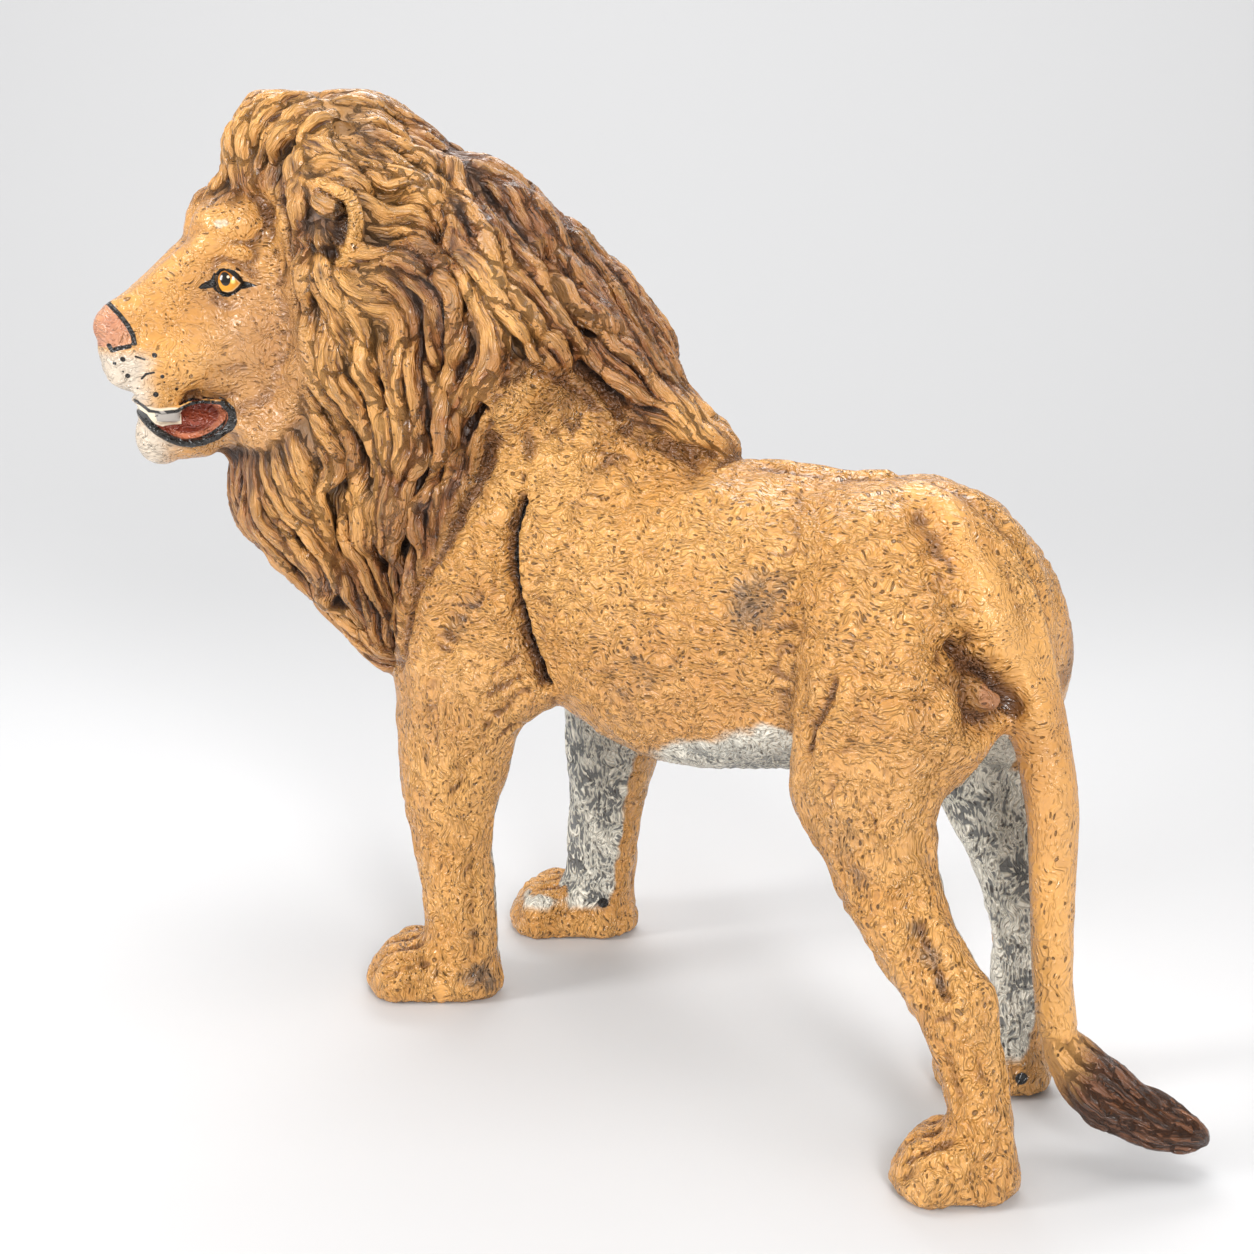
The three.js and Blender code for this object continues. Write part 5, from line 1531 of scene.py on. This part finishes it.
# %% Grey-white undersides, dark smudges with painted shade in the folds, and pores
pale = bench.attribute("pale") + speckle * 0.5
flecks = ((fur - 0.5) * 1.8 + mottle + (crowd - 0.5)).rise(0.50, 0.28)
on_leg = height.rise(60, 52)
pale_tone = bench.coats(
    GREY_WHITE,
    (flecks * (0.06 + on_leg * 0.82), SLATE),
    (cut * (0.12 + on_leg * 0.25), SLATE),
)
smudge_and_shade_mask = (smudge_and_shade + speckle * 0.9 + (fur - 0.5) * 0.6) * smudge_and_shade.rise(0.04, 0.2)
seam = bench.attribute("seam") + speckle * 0.8
paw_dot = least_of([bench.distance(place, spot) for spot in PAW_DOTS])
tone = bench.coats(
    tone,
    (pale.rise(0.30, 0.70) * off_mane, pale_tone),
    # dark smudges, with painted shade in the folds
    (smudge_and_shade_mask.rise(0.25, 0.9) * 0.7, SLATE),
    (bench.distance(place, KNOB).rise(2.6, 2.0) * 0.8, COPPER),
    (pore * (0.65 + smudge_and_shade * 0.3), DARK_BROWN),
    # a black line along the shoulder seam: painted shadow in its deep crease
    (seam.rise(0.85, 0.4), BLACK),
    (paw_dot.rise(1.15, 0.9), BLACK),
)
print("coat laid")

# %% Masks of the face
chin_edge = face_back + speckle * 3
cushion = chin_edge.rise(9.5, 5.0) * face_up.rise(-3.2, -6.0)
chin = chin_edge.rise(13.5, 7.5) * face_up.rise(-15, -18)
cheek = face_back.rise(12, 21) * face_back.rise(38, 30) * height.rise(86, 92)
cheek *= face_up.rise(13, 5) * off_mane
nose = bench.inside(flat_face, NOSE)
on_nose = face_back.rise(7, 6.6)
band = (nose + 0.3).math("ABSOLUTE").rise(0.48, 0.34) * face_up.rise(-3.6, -3.2)
band *= face_back.rise(1.2, 1.9)
on_side = aside.rise(1.0, 1.6) * face_back.rise(14, 13)
nostril = bench.from_line(flat_face, NOSTRIL).rise(0.42, 0.3)
dab = bench.from_spots(flat_face, WHITE_DABS) + speckle * 1.2
in_ear = least_of([bench.from_line(flat_face, line) for line in EAR_RECESS])
in_ear = in_ear.rise(1.4, 0.5) * aside.rise(20, 22) * height.rise(110, 116)
streaks = [bench.from_line(flat_face, streak) - 0.18 for streak in WHISKER_STREAKS]
whisker = least_of([bench.from_spots(flat_face, WHISKER_DOTS), *streaks])
rim = bench.inside(flat_face, EYE_ALMOND)
for tail in (INNER_TAIL, OUTER_TAIL):
    rim = rim.math("MAXIMUM", bench.inside(flat_face, tail))
by_eye = aside.rise(5, 6) * face_back.rise(10, 12)
gum = bench.inside(flat_face, GUM).rise(-0.05, 0.1) * face_back.rise(22, 21) * aside.rise(12, 11)
gum_edge = mouth.rise(0.1, 0.3) * lip.rise(1.8, 1.3) * face_back.rise(10, 12)
tooth = bench.inside(flat_face, TOOTH).rise(-0.05, 0.1)
print("masks of the face ready")

# %% Paint the face
tone = bench.coats(
    tone,
    # painted shade over the cheek
    (cheek * (0.45 + mottle * 0.30), TAN_SHADE),
    (face_back.rise(16, 7) * off_mane * 0.15, LIGHT_OCHRE),
    (cushion.math("MAXIMUM", chin) * off_mane * 0.92, WHITE_LIP),
    (nose.rise(-0.1, 0.1) * on_nose, bench.mix(mottle.rise(0.3, 0.7), NOSE_PINK, NOSE_SHADE)),
    (band * on_nose, BLACK),
    (nostril * on_side, BLACK),
    # cream dabs; those on the brow are painted highlights
    (dab.rise(0.2, -0.3) * face_back.rise(26, 25) * 0.8, CREAM),
    # dark brown in the recess of each ear: painted shade
    (in_ear * 0.85, DARK_BROWN),
    (whisker.rise(0.06, -0.06) * on_side, BLACK),
    (rim.rise(-0.08, 0.06) * by_eye, BLACK),
    (mouth.rise(-0.1, 0.1), bench.mix(mottle.rise(0.40, 0.65), MOUTH_RED, TONGUE_RED)),
    (gum_edge, GUM_PINK),
    (gum * mouth.rise(-0.9, -0.6), CREAM),
    (tooth * mouth.rise(-0.5, -0.3), TOOTH_GREY),
    (lip.rise(0.78, 0.62), BLACK),
    (upper_lip.rise(0.42, 0.22), BLACK),
)
print("face painted")

# %% Bump and gloss
on_coat = (back * 0.6 + (fur - 0.5) * 1.1 + (grain - 0.5) * 0.3) * fine * (1 - hair) * (1 - gum)
on_hair = ((hair_lines - 0.5) * 2.6 + (grain - 0.5) * 0.25) * hair
relief = on_coat + on_hair - pore * (1 - hair * 0.6)
bump = bench.node("ShaderNodeBump", values={"Strength": 1.0, "Distance": 0.0007, "Height": relief})
gloss = 0.10 + mottle * 0.15 + groove * 0.3 + pale.rise(0.3, 0.7) * 0.2 + wash_and_shade.rise(0.3, 0.9) * 0.12
painted = bench.finish(
    **{"Base Color": tone, "Roughness": gloss, "Normal": bump, "Specular IOR Level": 0.62}
)
light_mesh.materials.clear()
light_mesh.materials.append(painted)
print("nodes in the coat", len(bench.nodes))

# %% Paint for the eyes
PUPIL = (20.1, 0, 7.5)
PUPIL_HALF = (0.78, 1.12)  # mm, half its width and half its height
# painted highlights on each eye: a pale yellow glow beside the pupil and a cream glint on it
GLOW_SPOT = (21.25, 7.15, 0.1)
GLINT_SPOT = (20.55, 7.85, 0.16)

bench = Bench("painted_eyes")
face_back, _, face_up = bench.split(bench.attribute("face", "Vector"))
flat_face = bench.flat(face_back, face_up)
iris = bench.inside(flat_face, IRIS)
iris_edge = iris.rise(0.30, 0.12) * (face_back - face_up * 0.8).rise(15.0, 15.9)
pupil = bench.vector("SUBTRACT", flat_face, PUPIL)
pupil = bench.vector("MULTIPLY", pupil, (1 / PUPIL_HALF[0], 0, 1 / PUPIL_HALF[1]))
reach = bench.vector("LENGTH", pupil, out="Value")
eye_tone = bench.coats(
    bench.mix(face_up.rise(8.4, 6.0), DARK_AMBER, AMBER),
    (bench.from_spots(flat_face, [GLOW_SPOT]).rise(0.5, 0.0), EYE_GLOW),
    (iris_edge * 0.3, CREAM),
    (reach.rise(1.06, 0.94), BLACK),
    (bench.from_spots(flat_face, [GLINT_SPOT]).rise(0.12, 0.0), CREAM),
    (iris.rise(0.04, -0.04), BLACK),
)
eye_paint = bench.finish(**{"Base Color": eye_tone, "Roughness": 0.14, "Specular IOR Level": 0.6})
eye_mesh.materials.append(eye_paint)
print("eyes painted")

# %% [markdown]
# ## One casting on one body
#
# Nothing on the figure moves, so every piece rides on the root. The skin stands for the one CAD
# node, and the eyes sit in it.

# %% Ride and replace
for piece in (lion_skin, lion_eyes):
    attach(piece, "root")
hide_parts("lion")
